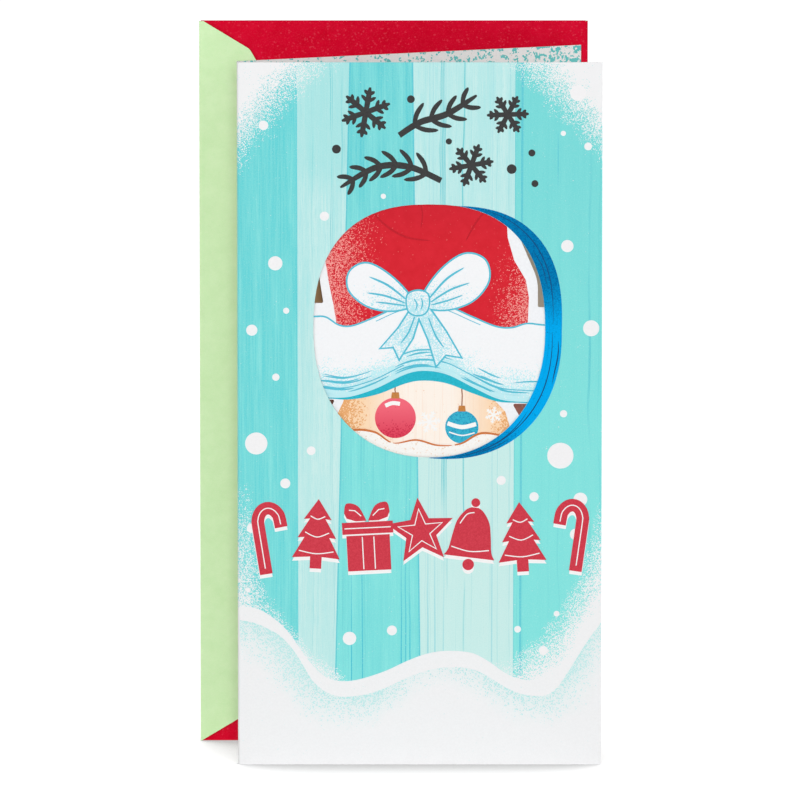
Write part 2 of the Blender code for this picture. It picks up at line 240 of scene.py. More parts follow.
class Surface(Nodes):
    """A procedural material. Lengths in it are millimetres: x from the fold, y to the rear, z up."""

    def __init__(self, name, roughness=0.5, turn=0.0, specular=0.12):
        self.material = bpy.data.materials.new(name)
        self.material.use_nodes = True
        super().__init__(self.material.node_tree)
        self.shader = self.tree.nodes["Principled BSDF"].inputs
        self.shader["Roughness"].default_value = roughness
        self.shader["Specular IOR Level"].default_value = specular
        place = self.add("ShaderNodeTexCoord", {}, "Object")
        x, y, z = (self.add("ShaderNodeSeparateXYZ", {0: place}, axis) * 1000 for axis in range(3))
        x = x + -SPINE.x * 1000
        y = y + -SPINE.y * 1000
        if turn:
            cosine, sine = math.cos(turn), math.sin(turn)
            x, y = x * cosine + y * sine, x * -sine + y * cosine
        self.x, self.y, self.z = x, y, z
        self.flat = self.point(x, z)
        self.solid = self.point(x, z, y)

    def point(self, x, z, y=0.0):
        return self.add("ShaderNodeCombineXYZ", {0: x, 1: z, 2: y})

    def noise(self, vector, scale=1.0, detail=2.0, rough=0.5, bend=0.0):
        inputs = {"Vector": vector, "Scale": scale, "Detail": detail, "Roughness": rough, "Distortion": bend}
        return self.add("ShaderNodeTexNoise", inputs)

    def grain(self, x_scale, z_scale, *rest):
        """Noise drawn out along the sheet."""
        return self.noise(self.point(self.x * x_scale, self.z * z_scale), 1.0, *rest)

    def cells(self, vector, size):
        """A random number from 0 to 1 for each small irregular cell."""
        cell = self.add("ShaderNodeTexVoronoi", {"Vector": vector, "Scale": 1 / size}, "Color")
        return self.add("ShaderNodeSeparateColor", {0: cell})

    def spatter(self, share, size=0.30):
        """1 on a random share of tiny specks, as a dry brush or spray leaves them."""
        draw = self.cells(self.flat, size) * 0.86 + self.cells(self.flat, size * 1.9) * 0.14
        return (share - draw).ramp(-0.04, 0.04)

    def graph(self, points, height):
        """A line through points over the card's width, with results from 0 to height."""
        made = self.add("ShaderNodeFloatCurve", {"Value": self.x / CARD_W})
        mapping = made.socket.node.mapping
        line = mapping.curves[0]
        places = [(x / CARD_W, y / height) for x, y in points]
        line.points[0].location = places[0]
        line.points[1].location = places[-1]
        for place in places[1:-1]:
            line.points.new(*place)
        for point in line.points:
            point.handle_type = "VECTOR"
        mapping.update()
        return made * height

    def attribute(self, name):
        return self.add("ShaderNodeAttribute", {}, "Fac", attribute_name=name)

    def mix(self, share, first, second):
        first, second = (linear(each) if isinstance(each, tuple) else each for each in (first, second))
        return self.add("ShaderNodeMix", {0: share, 6: first, 7: second}, 2, data_type="RGBA")

    def layers(self, colour, *over):
        """The colour with others laid over it, each given as its share and itself."""
        for share, second in over:
            colour = self.mix(share, colour, second)
        return colour

    def mottled(self, colour, amount, size):
        """The colour with a slight cloudiness, as ink lies on stock."""
        cloud = self.noise(self.solid, 1 / size, 3.0, 0.6).ramp(0.3, 0.7)
        return self.mix(cloud, shifted(colour, -amount), shifted(colour, amount))

    def bump(self, height, strength, distance):
        inputs = {"Strength": strength, "Distance": distance, "Height": height}
        self.feed(self.shader["Normal"], self.add("ShaderNodeBump", inputs))

    def paint(self, colour, *over, tooth=0.10, size=0.35):
        """The finished material, with the fine tooth of the stock as bump."""
        self.feed(self.shader["Base Color"], self.layers(colour, *over))
        if tooth:
            self.bump(self.noise(self.solid, 1 / size, 3.0, 0.65), tooth, 0.00004)
        return self.material


# Prints and papers


def ink(name, colour, amount=5, size=0.45, speckle=None, share=0.0):
    """Printed ink; speckle is the colour of a share of fine specks in it."""
    surface = Surface(name)
    specks = [(surface.spatter(share), speckle)] if speckle else []
    return surface.paint(surface.mottled(colour, amount, size), *specks, tooth=0.08)


def corner_share(surface, x, z, reach_x, reach_z):
    """How much of the snow spray lies at a point, from 1 at a corner to 0 at its reach."""
    away = (abs(surface.x - x) / reach_x) ** 0.9 + (abs(surface.z - z) / reach_z) ** 0.9
    return away.ramp(1.02, 0.28, interpolation_type="SMOOTHSTEP")


def plank_print(name, printed_depth, lined=True):
    """Vertical painted planks with snow spray in the corners, on the side that faces the front."""
    surface = Surface(name, 0.48)
    x, y, z = surface.x, surface.y, surface.z
    streaks = surface.grain(2.6, 0.060, 3.0, 0.6)
    broad = surface.grain(0.42, 0.014).ramp(0.35, 0.65)
    hatch = surface.grain(7.0, 0.30)
    wander = surface.grain(0.05, 0.03)
    patch = surface.grain(0.30, 0.045).ramp(0.38, 0.62, 0.25, 1.0)

    # plank edges: place at the lower edge of the card and lean per millimetre of height
    edges = ((15.50, -0.0014), (24.35, 0.0238), (47.45, -0.0122), (71.00, 0.0030))
    seams = [x - (z * lean + place) for place, lean in edges]
    beyond = [seam.ramp(-0.05, 0.05) for seam in seams]
    left_plank = 1.0 - beyond[0]
    second_plank = beyond[0] - beyond[1]
    fourth_plank = beyond[2] - beyond[3]
    lower = z.ramp(156.0, 82.0)

    deep = surface.layers(
        (112, 214, 215),
        (broad, (138, 227, 224)),
        (streaks.ramp(0.49, 0.73) * patch, (82, 199, 213)),
        (streaks.ramp(0.47, 0.28, 0.0, 0.60), (154, 232, 230)),
        (hatch.ramp(0.52, 0.75, 0.0, 0.50), (94, 204, 211)),
        (patch * 0.45, (96, 207, 212)),
        (beyond[3] * 0.80, (121, 219, 217)),
        (lower * left_plank.ramp(0.0, 1.0, 0.38, 0.20), (146, 240, 231)),
    )
    pale = surface.layers(
        (183, 232, 231),
        (broad, (207, 240, 237)),
        (patch * 0.22, (168, 226, 227)),
        (streaks.ramp(0.51, 0.74, 0.0, 0.9) * patch, (152, 226, 228)),
        (hatch.ramp(0.48, 0.70, 0.0, 0.70), (162, 226, 227)),
        (streaks.ramp(0.46, 0.28, 0.0, 0.65), (212, 242, 238)),
        (beyond[2] * 0.30, (190, 234, 232)),
    )
    worn = surface.mix(z.ramp(158.0, 148.0), (164, 227, 226), pale)
    pale = surface.layers(pale, (lower * 0.75, (206, 238, 233)), (second_plank * 0.62, worn))
    tint = left_plank * streaks.ramp(0.40, 0.70, 0.1, 0.7)
    colour = surface.layers(deep, (second_plank + fourth_plank, pale), (tint, (98, 214, 217)))

    # dark seams and grooves
    for seam, offset, half, depth in (
        (seams[0], -0.22, 0.16, 0.24),
        (seams[1], 0.22, 0.14, 0.70),
        (seams[2], -0.20, 0.16, 0.75),
        (seams[3], 0.12, 0.10, 0.35),
        (seams[3], 1.85, 0.26, 0.70),
    ):
        mask = (seam - offset).line(half) * hatch.ramp(0.3, 0.6, depth * 0.7, depth)
        colour = surface.mix(mask, colour, SEAM_TEAL)

    # grain lines that wander a little and fade in and out
    for index, (spacing, strength) in enumerate(((0.30, 0.75), (0.47, 0.5))):
        wave = surface.noise(surface.point((wander * 2.4 + x) * spacing, 7.3 + 5 * index), 1.0, 1.0)
        fade = surface.noise(surface.point(x * 0.25, z * 0.018), 1.0 + index)
        mask = (wave - 0.5).line(0.0018, 0.0040) * fade.ramp(0.44, 0.56, 0.0, strength)
        colour = surface.mix(mask, colour, (94, 202, 210))

    # single grooves: place, lean, height where they end and strength
    for place, lean, reach, strength in (
        (29.15, 0.000, 60, 1.00),
        (32.15, -0.004, 74, 0.85),
        (42.05, 0.004, 66, 1.00),
        (43.25, 0.002, 82, 0.80),
        (44.45, -0.002, 58, 1.00),
        (48.95, 0.003, 58, 0.60),
        (50.95, -0.003, 64, 0.52),
        (52.95, 0.002, 46, 0.42),
        (65.60, 0.001, 90, 0.40),
    ):
        away = (wander * 0.8 + x) - (z * lean + place)
        mask = (away - 0.4).line(0.10, 0.10) * z.ramp(reach, reach * 0.45, 0.15, strength)
        colour = surface.mix(mask, colour, (72, 196, 214))

    # one short groove high on the last plank, and the tooth of the stock through the ink
    groove = (x - 82.6).line(0.05, 0.16) * z.ramp(150.5, 157.0, 0.0, 0.6) * z.ramp(167.0, 161.0)
    grit = surface.noise(surface.flat, 3.0, 2.0, 0.7)
    colour = surface.layers(
        colour,
        (groove, SEAM_TEAL),
        (grit.ramp(0.50, 0.74, 0.0, 0.13), (226, 243, 242)),
        (grit.ramp(0.50, 0.28, 0.0, 0.10), (74, 190, 200)),
    )

    # snow spray
    above = z - surface.graph(SNOW_TOP, 50.0)
    share = (above / surface.graph(SPRAY_REACH, 50.0)).ramp(1.0, 0.0) * surface.graph(SPRAY_SHARE, 1.0)
    for corner in ((0.0, CARD_H, 31.0, 34.0), (CARD_W, CARD_H, 32.0, 32.0)):
        share = share.at_least(corner_share(surface, *corner))
    share = share + surface.grain(0.22, 0.22, 3.0, 0.6).ramp(0.35, 0.65, -0.07, 0.05)
    share = (share * share.ramp(0.01, 0.06)).at_least(above.ramp(-0.35, -0.55, 0.0, 1.5))
    colour = surface.mix(surface.spatter(share, 0.175), colour, WHITE_STOCK)

    # bare board on the edges and on the inner side, with the inside's own print
    bare = (240, 240, 240)
    if lined:
        bare = surface.mix(y > -LEAF_IN - 0.02, (236, 235, 232), fleck_print(surface))
    return surface.paint(bare, (y < -LEAF_OUT + printed_depth, colour))


def fleck_print(surface):
    """Cool flecks like chipped paint on pale grey, denser towards the free edge and the upper edge."""
    chips = surface.add("ShaderNodeTexVoronoi", {"Vector": surface.flat, "Scale": 1 / 0.38}, "Position")
    crowd = surface.noise(surface.flat, 0.12)
    borders = surface.x.ramp(20.0, 94.0, 0.0, 0.100) + surface.z.ramp(150.0, 184.0, -0.03, 0.0)
    level = surface.noise(chips, 0.74, 1.4, 0.5, 1.1) + borders
    level = level + crowd.ramp(0.3, 0.7, -0.020, 0.020)
    cloud = surface.noise(surface.flat, 2.2, 3.0, 0.6).ramp(0.3, 0.7)
    fleck = surface.mix(crowd.ramp(0.4, 0.6), (94, 198, 196), (116, 206, 204))
    return surface.layers((242, 238, 237), (cloud, (250, 247, 246)), (level.ramp(0.614, 0.632), fleck))


def back_print():
    """The rear leaf: flecks and a brown field on its inner side, plain white outside."""
    surface = Surface("rear_leaf_print", 0.5, AJAR)
    x, y, z = surface.x, surface.y, surface.z
    brown = surface.layers(
        (176, 146, 112),
        (surface.grain(0.30, 2.6, 3.0, 0.6).ramp(0.35, 0.65), (196, 166, 130)),
        (x.ramp(40.0, 26.0), (224, 183, 136)),
        (x.ramp(60.0, 76.0) * 0.85, (214, 202, 184)),
    )
    share = abs(x - 47.0).ramp(45.0, 37.0) * abs(z - 92.0).ramp(84.0, 70.0)
    cloud = surface.noise(surface.flat, 0.3, 3.0, 0.6).ramp(0.3, 0.7, -0.08, 0.08)
    inside = surface.mix(surface.spatter(share + cloud, 0.32), fleck_print(surface), brown)
    drift = surface.noise(surface.flat, 0.06, 3.0, 0.6).ramp(0.3, 0.7, -0.16, 0.10)
    spray = surface.spatter(z.ramp(2.0, 34.0, 0.42, -0.02) + drift, 0.34)
    outside = surface.mix(spray, (240, 240, 240), (188, 230, 231))
    return surface.paint((238, 237, 234), (y < LEAF_IN + 0.02, inside), (y > LEAF_OUT - 0.02, outside))


def pocket_print():
    """The banknote pocket: umber wood print with a spray of lighter specks towards its edges."""
    surface = Surface("pocket_print", 0.55, AJAR)
    side = abs(surface.x - CARD_W / 2)
    colour = surface.layers(
        (182, 112, 100),
        (surface.grain(0.16, 2.0, 4.0, 0.62, 0.6).ramp(0.34, 0.68), (208, 136, 122)),
        (surface.grain(0.5, 7.0).ramp(0.52, 0.76, 0.0, 0.5), (158, 94, 84)),
        (surface.x.ramp(40.0, 26.0, 0.0, 0.7), (226, 172, 152)),
        (surface.x.ramp(58.0, 74.0, 0.0, 0.35), (230, 160, 146)),
        (surface.spatter(side.ramp(22.0, 39.5, -0.1, 0.34)), (212, 170, 150)),
    )
    return surface.paint((225, 221, 214), (surface.y < POCKET_FRONT + 0.02, colour), tooth=0.14)


def plain_stock(name, colour):
    surface = Surface(name)
    return surface.paint(surface.mottled(colour, 3, 0.6), tooth=0.12)


def dyed_surface(name):
    """Uncoated paper, without its colour."""
    return Surface(name, 0.62, specular=0.03)


def dyed(surface, dark, pale, speck, dots=None):
    """A cloudy ground with grit and, for a share of dots, also fine fibres and dots."""
    place = surface.solid
    layers = [
        (surface.noise(place, 0.25, 4.0, 0.7).ramp(0.3, 0.7), pale),
        (surface.noise(place, 3.2, 2.0, 0.6).ramp(0.52, 0.78, 0.0, 0.38), speck),
    ]
    if dots:
        fibre = (surface.noise(place, 1.1, 2.0, 0.5, 2.5) - 0.5).line(0.004, 0.008)
        sparse = surface.noise(place, 0.8, 1.0).ramp(0.52, 0.62, 0.0, 0.30)
        layers.append((fibre * sparse, speck))
        layers.append((surface.cells(place, 0.42).ramp(1.0 - dots, 1.0 - dots + 0.01, 0.0, 0.45), speck))
    return surface.layers(dark, *layers)


def one_sided_paper(name, tones, dots):
    surface = dyed_surface(name)
    return surface.paint(dyed(surface, *tones, dots), tooth=0.30, size=0.28)


def two_sided_paper(name, pick):
    """The flap's paper: green, and red where pick gives 1 for a place."""
    surface = dyed_surface(name)
    red = dyed(surface, *RED_PAPER, RED_DOTS)
    return surface.paint(dyed(surface, *FLAP_PAPER), (pick(surface), red), tooth=0.30, size=0.28)


def glue_film():
    surface = Surface("glue_film", 0.28)
    surface.shader["Coat Weight"].default_value = 0.3
    return surface.paint(surface.mottled((226, 222, 204), 6, 1.2), tooth=0.35, size=0.9)


def gum_film():
    """Dried gum: a glossy, slightly yellowed coat with brush marks along the flap."""
    surface = Surface("dried_gum", 0.22)
    surface.shader["Coat Weight"].default_value = 0.5
    marks = surface.grain(2.4, 0.10, 3.0, 0.6)
    surface.bump(marks, 0.25, 0.00005)
    return surface.paint((200, 233, 176), (marks.ramp(0.35, 0.65), (212, 240, 188)), tooth=0.0)


# Shapes in the plane of a sheet, in millimetres


def curve(points, closed=False, steps=8):
    """A smooth line through points."""
    count = len(points)
    out = []
    for i in range(count if closed else count - 1):
        if closed:
            around = [points[(i + k) % count] for k in (-1, 0, 1, 2)]
        else:
            around = [points[min(max(i + k, 0), count - 1)] for k in (-1, 0, 1, 2)]
        for k in range(steps):
            t = k / steps
            out.append(tuple(
                0.5 * (
                    2 * b + (c - a) * t + (2 * a - 5 * b + 4 * c - d) * t * t + (3 * b - a - 3 * c + d) * t**3
                )
                for a, b, c, d in zip(*around)
            ))
    if not closed:
        out.append(tuple(points[-1]))
    return out


def between(first, second, share):
    """The point at a share of the way from the first to the second."""
    return tuple(a + (b - a) * share for a, b in zip(first, second))


def evenly(points, count):
    """The same line with its points at even distances."""
    lengths = [0.0]
    for a, b in zip(points, points[1:]):
        lengths.append(lengths[-1] + math.dist(a, b))
    out = []
    index = 0
    for i in range(count):
        goal = lengths[-1] * i / (count - 1)
        while index < len(points) - 2 and lengths[index + 1] < goal:
            index += 1
        share = (goal - lengths[index]) / max(lengths[index + 1] - lengths[index], 1e-9)
        out.append(between(points[index], points[index + 1], share))
    return out


def rails_between(first, second, rows):
    """Lines of points from the first to the second."""
    return [[between(p, q, row / (rows - 1)) for p, q in zip(first, second)] for row in range(rows)]


def stroke(points, width, taper=(0.15, 0.15)):
    """A brush stroke along points, narrowed at its ends to the taper shares."""
    count = len(points)
    left, right = [], []
    for i, (x, z) in enumerate(points):
        before = points[max(i - 1, 0)]
        after = points[min(i + 1, count - 1)]
        along = Vector((after[0] - before[0], after[1] - before[1])).normalized()
        t = i / (count - 1)
        swell = math.sin(math.pi * t) ** 0.6
        floor = taper[0] * (1 - t) + taper[1] * t
        half = width / 2 * (floor + (1 - floor) * swell)
        left.append((x - along.y * half, z + along.x * half))
        right.append((x + along.y * half, z - along.x * half))
    return left + right[::-1]


def even_stroke(points, width):
    """A line of even width along points."""
    return stroke(points, width, (1.0, 1.0))


def polar(x, z, radius, angle):
    return (x + radius * math.cos(angle), z + radius * math.sin(angle))


def disc(x, z, radius, steps=28):
    return [polar(x, z, radius, 2 * math.pi * i / steps) for i in range(steps)]


def moved(outline, x, z, angle=0.0):
    cosine, sine = math.cos(angle), math.sin(angle)
    return [(x + px * cosine - pz * sine, z + px * sine + pz * cosine) for px, pz in outline]


def area(outline):
    total = 0.0
    for (x0, z0), (x1, z1) in zip(outline, outline[1:] + outline[:1]):
        total += x0 * z1 - x1 * z0
    return total / 2


def inset(outline, distance):
    """The outline moved inwards by a distance."""
    if area(outline) < 0:
        outline = outline[::-1]
    count = len(outline)
    out = []
    for i in range(count):
        here = Vector(outline[i])
        before = (here - Vector(outline[i - 1])).normalized()
        after = (Vector(outline[(i + 1) % count]) - here).normalized()
        across = Vector((-after.y, after.x))
        normal = Vector((-before.y - after.y, before.x + after.x))
        if normal.length < 1e-6:
            normal = across.copy()
        normal.normalize()
        out.append(tuple(here + normal * distance / max(normal.dot(across), 0.5)))
    return out


def filleted(corners, steps=6):
    """A closed outline through (x, z, radius) corners."""
    outline = []
    count = len(corners)
    for i, (x, z, radius) in enumerate(corners):
        if radius == 0.0:
            outline.append((x, z))
            continue
        here = Vector((x, z))
        before = (Vector(corners[i - 1][:2]) - here).normalized()
        after = (Vector(corners[(i + 1) % count][:2]) - here).normalized()
        half = before.angle(after) / 2
        middle = here + (before + after).normalized() * radius / math.sin(half)
        first = here + before * radius / math.tan(half) - middle
        sweep = math.pi - 2 * half
        if before.x * after.y - before.y * after.x > 0:
            sweep = -sweep
        start = math.atan2(first.y, first.x)
        for k in range(steps + 1):
            outline.append(polar(middle.x, middle.y, radius, start + sweep * k / steps))
    return outline


def flake_strokes(x, z, radius, turn, width):
    """A six-armed snow crystal in brush strokes, turned by degrees."""
    out = []
    for arm in range(6):
        angle = math.radians(turn) + arm * math.pi / 3
        out.append(stroke(evenly([(x, z), polar(x, z, radius, angle)], 7), width, (0.9, 0.35)))
        for place, reach in ((0.42, 0.36), (0.70, 0.26)):
            base = polar(x, z, radius * place, angle)
            for side in (-1, 1):
                end = polar(*base, radius * reach, angle + side * math.radians(52))
                out.append(stroke(evenly([base, end], 5), width * 0.66, (0.8, 0.3)))
    return out


def sprig_strokes(points, width, needle, gap, thick):
    """A pine sprig in brush strokes: a bent stem with needles on both sides."""
    stem = curve(points, steps=10)
    out = [stroke(stem, width, (0.9, 0.25))]
    line = evenly(stem, max(4, int(sum(math.dist(a, b) for a, b in zip(stem, stem[1:])) / gap)))
    count = len(line)
    for i in range(1, count - 1):
        (x0, z0), (x1, z1) = line[i - 1], line[i + 1]
        heading = math.atan2(z1 - z0, x1 - x0)
        half = needle * (1.0 - 0.45 * i / count) * 0.5
        for side in (-1, 1):
            middle = polar(*line[i], half, heading + side * math.radians(48))
            end = polar(*middle, half, heading + side * math.radians(30))
            out.append(stroke(curve([line[i], middle, end], steps=4), thick, (0.5, 0.2)))
    return out


# Meshes


def cut_large_faces(builder):
    """Splits every face of more than four corners into triangles."""
    builder.normal_update()
    bmesh.ops.triangulate(builder, faces=[face for face in builder.faces if len(face.verts) > 4])


def finish_mesh(builder, name, materials, body=None, smooth=False):
    bmesh.ops.recalc_face_normals(builder, faces=builder.faces)
    mesh = bpy.data.meshes.new(name)
    builder.to_mesh(mesh)
    builder.free()
    for material in materials:
        mesh.materials.append(material)
    if smooth:
        mesh.shade_smooth()
        mesh.set_sharp_from_angle(angle=math.radians(35.0))
    piece = bpy.data.objects.new(name, mesh)
    bpy.context.scene.collection.objects.link(piece)
    if body:
        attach(piece, body)
    return piece


def put(matrix, x, y, z):
    return matrix @ Vector((x * MM, y * MM, z * MM))


def join_rings(builder, first, second):
    """A band of faces between two closed rings of points."""
    for i in range(len(first)):
        j = (i + 1) % len(first)
        builder.faces.new((first[i], first[j], second[j], second[i]))


class Sheet:
    """A sheet that takes prints: their body and slot, its frame and the plane of its face. The slot is not
    used.
    """

    def __init__(self, body, slot, frame_matrix, plane):
        self.body = body
        self.slot = slot
        self.frame = frame_matrix
        self.plane = plane

    def ring(self, builder, outline, y):
        return [builder.verts.new(put(self.frame, x, y, z)) for x, z in outline]

    def print_shapes(self, name, outlines, level, material, holes=()):
        """Flat printed shapes, each a closed leaf a few hundredths thick.

        level is the layer's order; holes pairs an outer outline with the inner one cut from it.
        Each shape lies a hair above the one before it, so that no two faces fall in one plane.
        """
        builder = bmesh.new()
        back = self.plane + INK_SINK
        front = self.plane - INK_STEP * level
        for index, outline in enumerate(outlines):
            y = front - INK_LIFT * (index % INK_LIFTS)
            rings = [self.ring(builder, outline, depth) for depth in (y, back)]
            for ring in rings:
                builder.faces.new(ring)
            join_rings(builder, *rings)
        for index, pair in enumerate(holes):
            y = front - INK_LIFT * (index % INK_LIFTS + 0.5)
            outer, outer_back, inner, inner_back = (
                self.ring(builder, outline, depth) for outline in pair for depth in (y, back)
            )
            join_rings(builder, outer, inner)
            join_rings(builder, inner_back, outer_back)
            join_rings(builder, outer_back, outer)
            join_rings(builder, inner, inner_back)
        cut_large_faces(builder)
        return finish_mesh(builder, name, [material], self.body)

    def print_strip(self, name, rails, level, material, attributes):
        """A printed strip between rails of points, with a number at each point for its material."""
        builder = bmesh.new()
        layers = {key: builder.verts.layers.float.new(key) for key in attributes}
        sheets = []
        for y in (self.plane - INK_STEP * level, self.plane + INK_SINK):
            sheets.append([self.ring(builder, rail, y) for rail in rails])
            for row, line in enumerate(sheets[-1]):
                for column, vertex in enumerate(line):
                    for key, function in attributes.items():
                        vertex[layers[key]] = function(row, column, rails[row][column][1])
        rows, columns = len(rails), len(rails[0])
        for sheet in sheets:
            for low, high in zip(sheet, sheet[1:]):
                for c in range(columns - 1):
                    builder.faces.new((low[c], low[c + 1], high[c + 1], high[c]))
        border = [(0, c) for c in range(columns)]
        border += [(r, columns - 1) for r in range(1, rows)]
        border += [(rows - 1, c) for c in range(columns - 2, -1, -1)]
        border += [(r, 0) for r in range(rows - 2, 0, -1)]
        join_rings(builder, *([sheet[r][c] for r, c in border] for sheet in sheets))
        return finish_mesh(builder, name, [material], self.body)


COVER = Sheet("cover", "teal_board", COVER_FRAME, -LEAF_OUT)
INSERT = Sheet("cover", "gift_insert", COVER_FRAME, -INSERT_FRONT)
POCKET = Sheet("card_back", "umber_pocket", BACK_FRAME, POCKET_FRONT)


# Camera, light and floor

CAMERA_AIM = Vector((0.0, COVER_LOW.y, 0.0960))
CAMERA_DISTANCE = 3.5
CAMERA_LENS = 609.0
CAMERA_RISE = math.radians(9.6)

LAMP_AIM = Vector((0.0, 0.0, 0.09))
LAMPS = (
    ("key", (-1.10, -2.10, 0.98), 1.0, 12.0),
    ("fill", (1.3, -2.1, 0.75), 1.3, 3.2),
    ("near", (0.085, -2.30, 0.60), 0.30, 9.4),
)

# Background and floor: what lights the object, and what the camera sees
WORLD_LIGHT = 0.442
FLOOR_HALF = 4.0
FLOOR_COLOUR = (0.85, 0.34)
FLOOR_GLOW = (0.30, 0.92)
CONTACT_REACH = 0.034
CONTACT_DARK = 0.49
WHITE = (1.0, 1.0, 1.0, 1.0)


def link(name, data, place):
    thing = bpy.data.objects.new(name, data)
    thing.location = place
    bpy.context.scene.collection.objects.link(thing)
    return thing


def make_camera():
    data = bpy.data.cameras.new("camera")
    data.sensor_width = 36.0
    data.lens = CAMERA_LENS
    data.clip_start = 0.05
    data.clip_end = 50.0
    back = Vector((0.0, -math.cos(CAMERA_RISE), math.sin(CAMERA_RISE)))
    camera = link("camera", data, CAMERA_AIM + back * CAMERA_DISTANCE)
    camera.rotation_euler = (-back).to_track_quat("-Z", "Y").to_euler()
    bpy.context.scene.camera = camera


def make_lamp(name, place, size, power):
    data = bpy.data.lights.new(name, "AREA")
    data.shape = "DISK"
    data.size = size
    data.energy = power
    lamp = link(name, data, place)
    lamp.rotation_euler = (LAMP_AIM - Vector(place)).to_track_quat("-Z", "Y").to_euler()


def make_world():
    world = bpy.data.worlds.new("studio")
    world.use_nodes = True
    nodes = Nodes(world.node_tree)
    background = nodes.tree.nodes["Background"].inputs
    background["Color"].default_value = WHITE
    nodes.feed(background["Strength"], nodes.seen(WORLD_LIGHT, 1.0))
    bpy.context.scene.world = world


def make_floor():
    """A plain white floor that keeps the object's shadows; its material also paints a contact shadow beside
    the object from ambient occlusion.
    """
    material = bpy.data.materials.new("floor")
    material.use_nodes = True
    nodes = Nodes(material.node_tree)
    shader = nodes.tree.nodes["Principled BSDF"].inputs
    shader["Roughness"].default_value = 0.9
    shader["Specular IOR Level"].default_value = 0.0
    shader["Emission Color"].default_value = WHITE
    # painted contact shadow: ambient occlusion darkens the floor's colour and glow near the object
    nearby = nodes.add("ShaderNodeAmbientOcclusion", {"Distance": CONTACT_REACH}, "AO", samples=16)
    shade = nearby.ramp(0.50, 0.80, nodes.seen(1.0, CONTACT_DARK), 1.0)
    nodes.feed(shader["Base Color"], nodes.grey(nodes.seen(*FLOOR_COLOUR) * shade))
    nodes.feed(shader["Emission Strength"], nodes.seen(*FLOOR_GLOW) * shade)
    builder = bmesh.new()
    corners = ((-1, -1), (1, -1), (1, 1), (-1, 1))
    builder.faces.new([builder.verts.new((x * FLOOR_HALF, y * FLOOR_HALF, 0.0)) for x, y in corners])
    floor = finish_mesh(builder, "floor", [material])


def make_studio():
    bpy.context.scene.view_settings.view_transform = "Standard"
    make_camera()
    make_world()
    make_floor()
    for lamp in LAMPS:
        make_lamp(*lamp)


# Cover


def window_point(angle, shift_x=0.0, shift_z=0.0, grow=0.0):
    """A point of the window's edge, or of a copy that is moved and grown."""
    x, z, width, height = WINDOW
    cosine, sine = math.cos(angle), math.sin(angle)
    power = WINDOW_POWER_TOP if sine > 0 else WINDOW_POWER_BASE
    across = math.copysign(abs(cosine) ** (2 / power), cosine) * (width / 2 + grow)
    up = math.copysign(abs(sine) ** (2 / power), sine) * (height / 2 + grow)
    return (x + shift_x + across, z + shift_z + up)


def outside_window(x, z):
    middle_x, middle_z, width, height = WINDOW
    power = WINDOW_POWER_TOP if z > middle_z else WINDOW_POWER_BASE
    return abs((x - middle_x) / (width / 2)) ** power + abs((z - middle_z) / (height / 2)) ** power > 1.0


def window_angle(point):
    """The angle at which the window's edge is nearest to a point."""
    angles = (math.pi * (0.5 - i / 2000) for i in range(-200, 2400))
    return min(angles, key=lambda angle: math.dist(window_point(angle), point))


def rim_paint():
    surface = Surface("rim_blue", 0.42, specular=0.02)
    along = surface.attribute("along")
    across = surface.attribute("across")
    cloud = surface.noise(surface.flat, 2.6, 3.0, 0.7)
    bright = abs(along - 0.60).ramp(0.10, 0.29, 1.0, 0.0, interpolation_type="SMOOTHSTEP")
    bright = (bright + cloud.ramp(0.35, 0.65, -0.22, 0.22)).clamped()
    grit = surface.spatter(bright.ramp(0.0, 1.0, 0.34, 0.05), 0.24)
    streak = surface.noise(surface.point(across * 9.0, along * 3.0))
    return surface.paint(
        (0, 120, 176),
        (bright, (0, 172, 242)),
        (grit * 0.55, (0, 76, 138)),
        (streak.ramp(0.54, 0.70, 0.0, 0.35), (0, 124, 186)),
    )


def make_window_rim():
    """The blue rim printed right of the window, as if the hole had a thick edge."""
    outer = []
    for i in range(-160, 780):
        angle = math.pi * (0.5 - i / 720)
        cosine, sine = max(0.0, math.cos(angle)), math.sin(angle)
        lower_swell = 0.55 * max(0.0, -sine) * cosine
        upper_swell = 0.95 * max(0.0, math.sin(2 * angle)) * cosine**0.4
        x, z = window_point(angle, 4.3 + lower_swell, -0.40 - lower_swell * 0.6, upper_swell)
        if outside_window(x, z) and x > WINDOW[0]:
            outer.append((x, z))
    start, end = window_angle(outer[0]), window_angle(outer[-1])
    inner = [window_point(start + (end - start) * i / 240, grow=0.02) for i in range(241)]
    columns, rows = 90, 6
    inner, outer = evenly(inner, columns), evenly(outer, columns)
    attributes = {
        "along": lambda row, column, z: column / (columns - 1),
        "across": lambda row, column, z: row / (rows - 1),
    }
    COVER.print_strip("cover_window_rim", rails_between(inner, outer, rows), 1, rim_paint(), attributes)

    dice = random.Random(5)
    grain = []
    for first, last, share, lean, width in (
        (6, 40, 0.62, -0.12, 0.22), (42, 74, 0.46, 0.04, 0.26), (62, 84, 0.30, 0.22, 0.22),
        (44, 54, 0.80, 0.05, 0.30), (22, 31, 0.30, 0.05, 0.18), (70, 78, 0.70, -0.05, 0.18),
    ):
        phase = dice.uniform(0, 6.28)
        line = []
        for column in range(first, last + 1):
            t = (column - first) / (last - first)
            place = share + lean * t + 0.025 * math.sin(phase + 7.0 * t)
            line.append(between(inner[column], outer[column], place))
        grain.append(stroke(line, width, (0.1, 0.1)))
    COVER.print_shapes("cover_rim_grain", grain, 2, ink("rim_grain", (0, 62, 112), 6))


def height_at(points, x):
    """The height of a line through points at x."""
    for (x0, z0), (x1, z1) in zip(points, points[1:]):
        if x <= x1:
            break
    return z0 + (z1 - z0) * ((x - x0) / (x1 - x0))


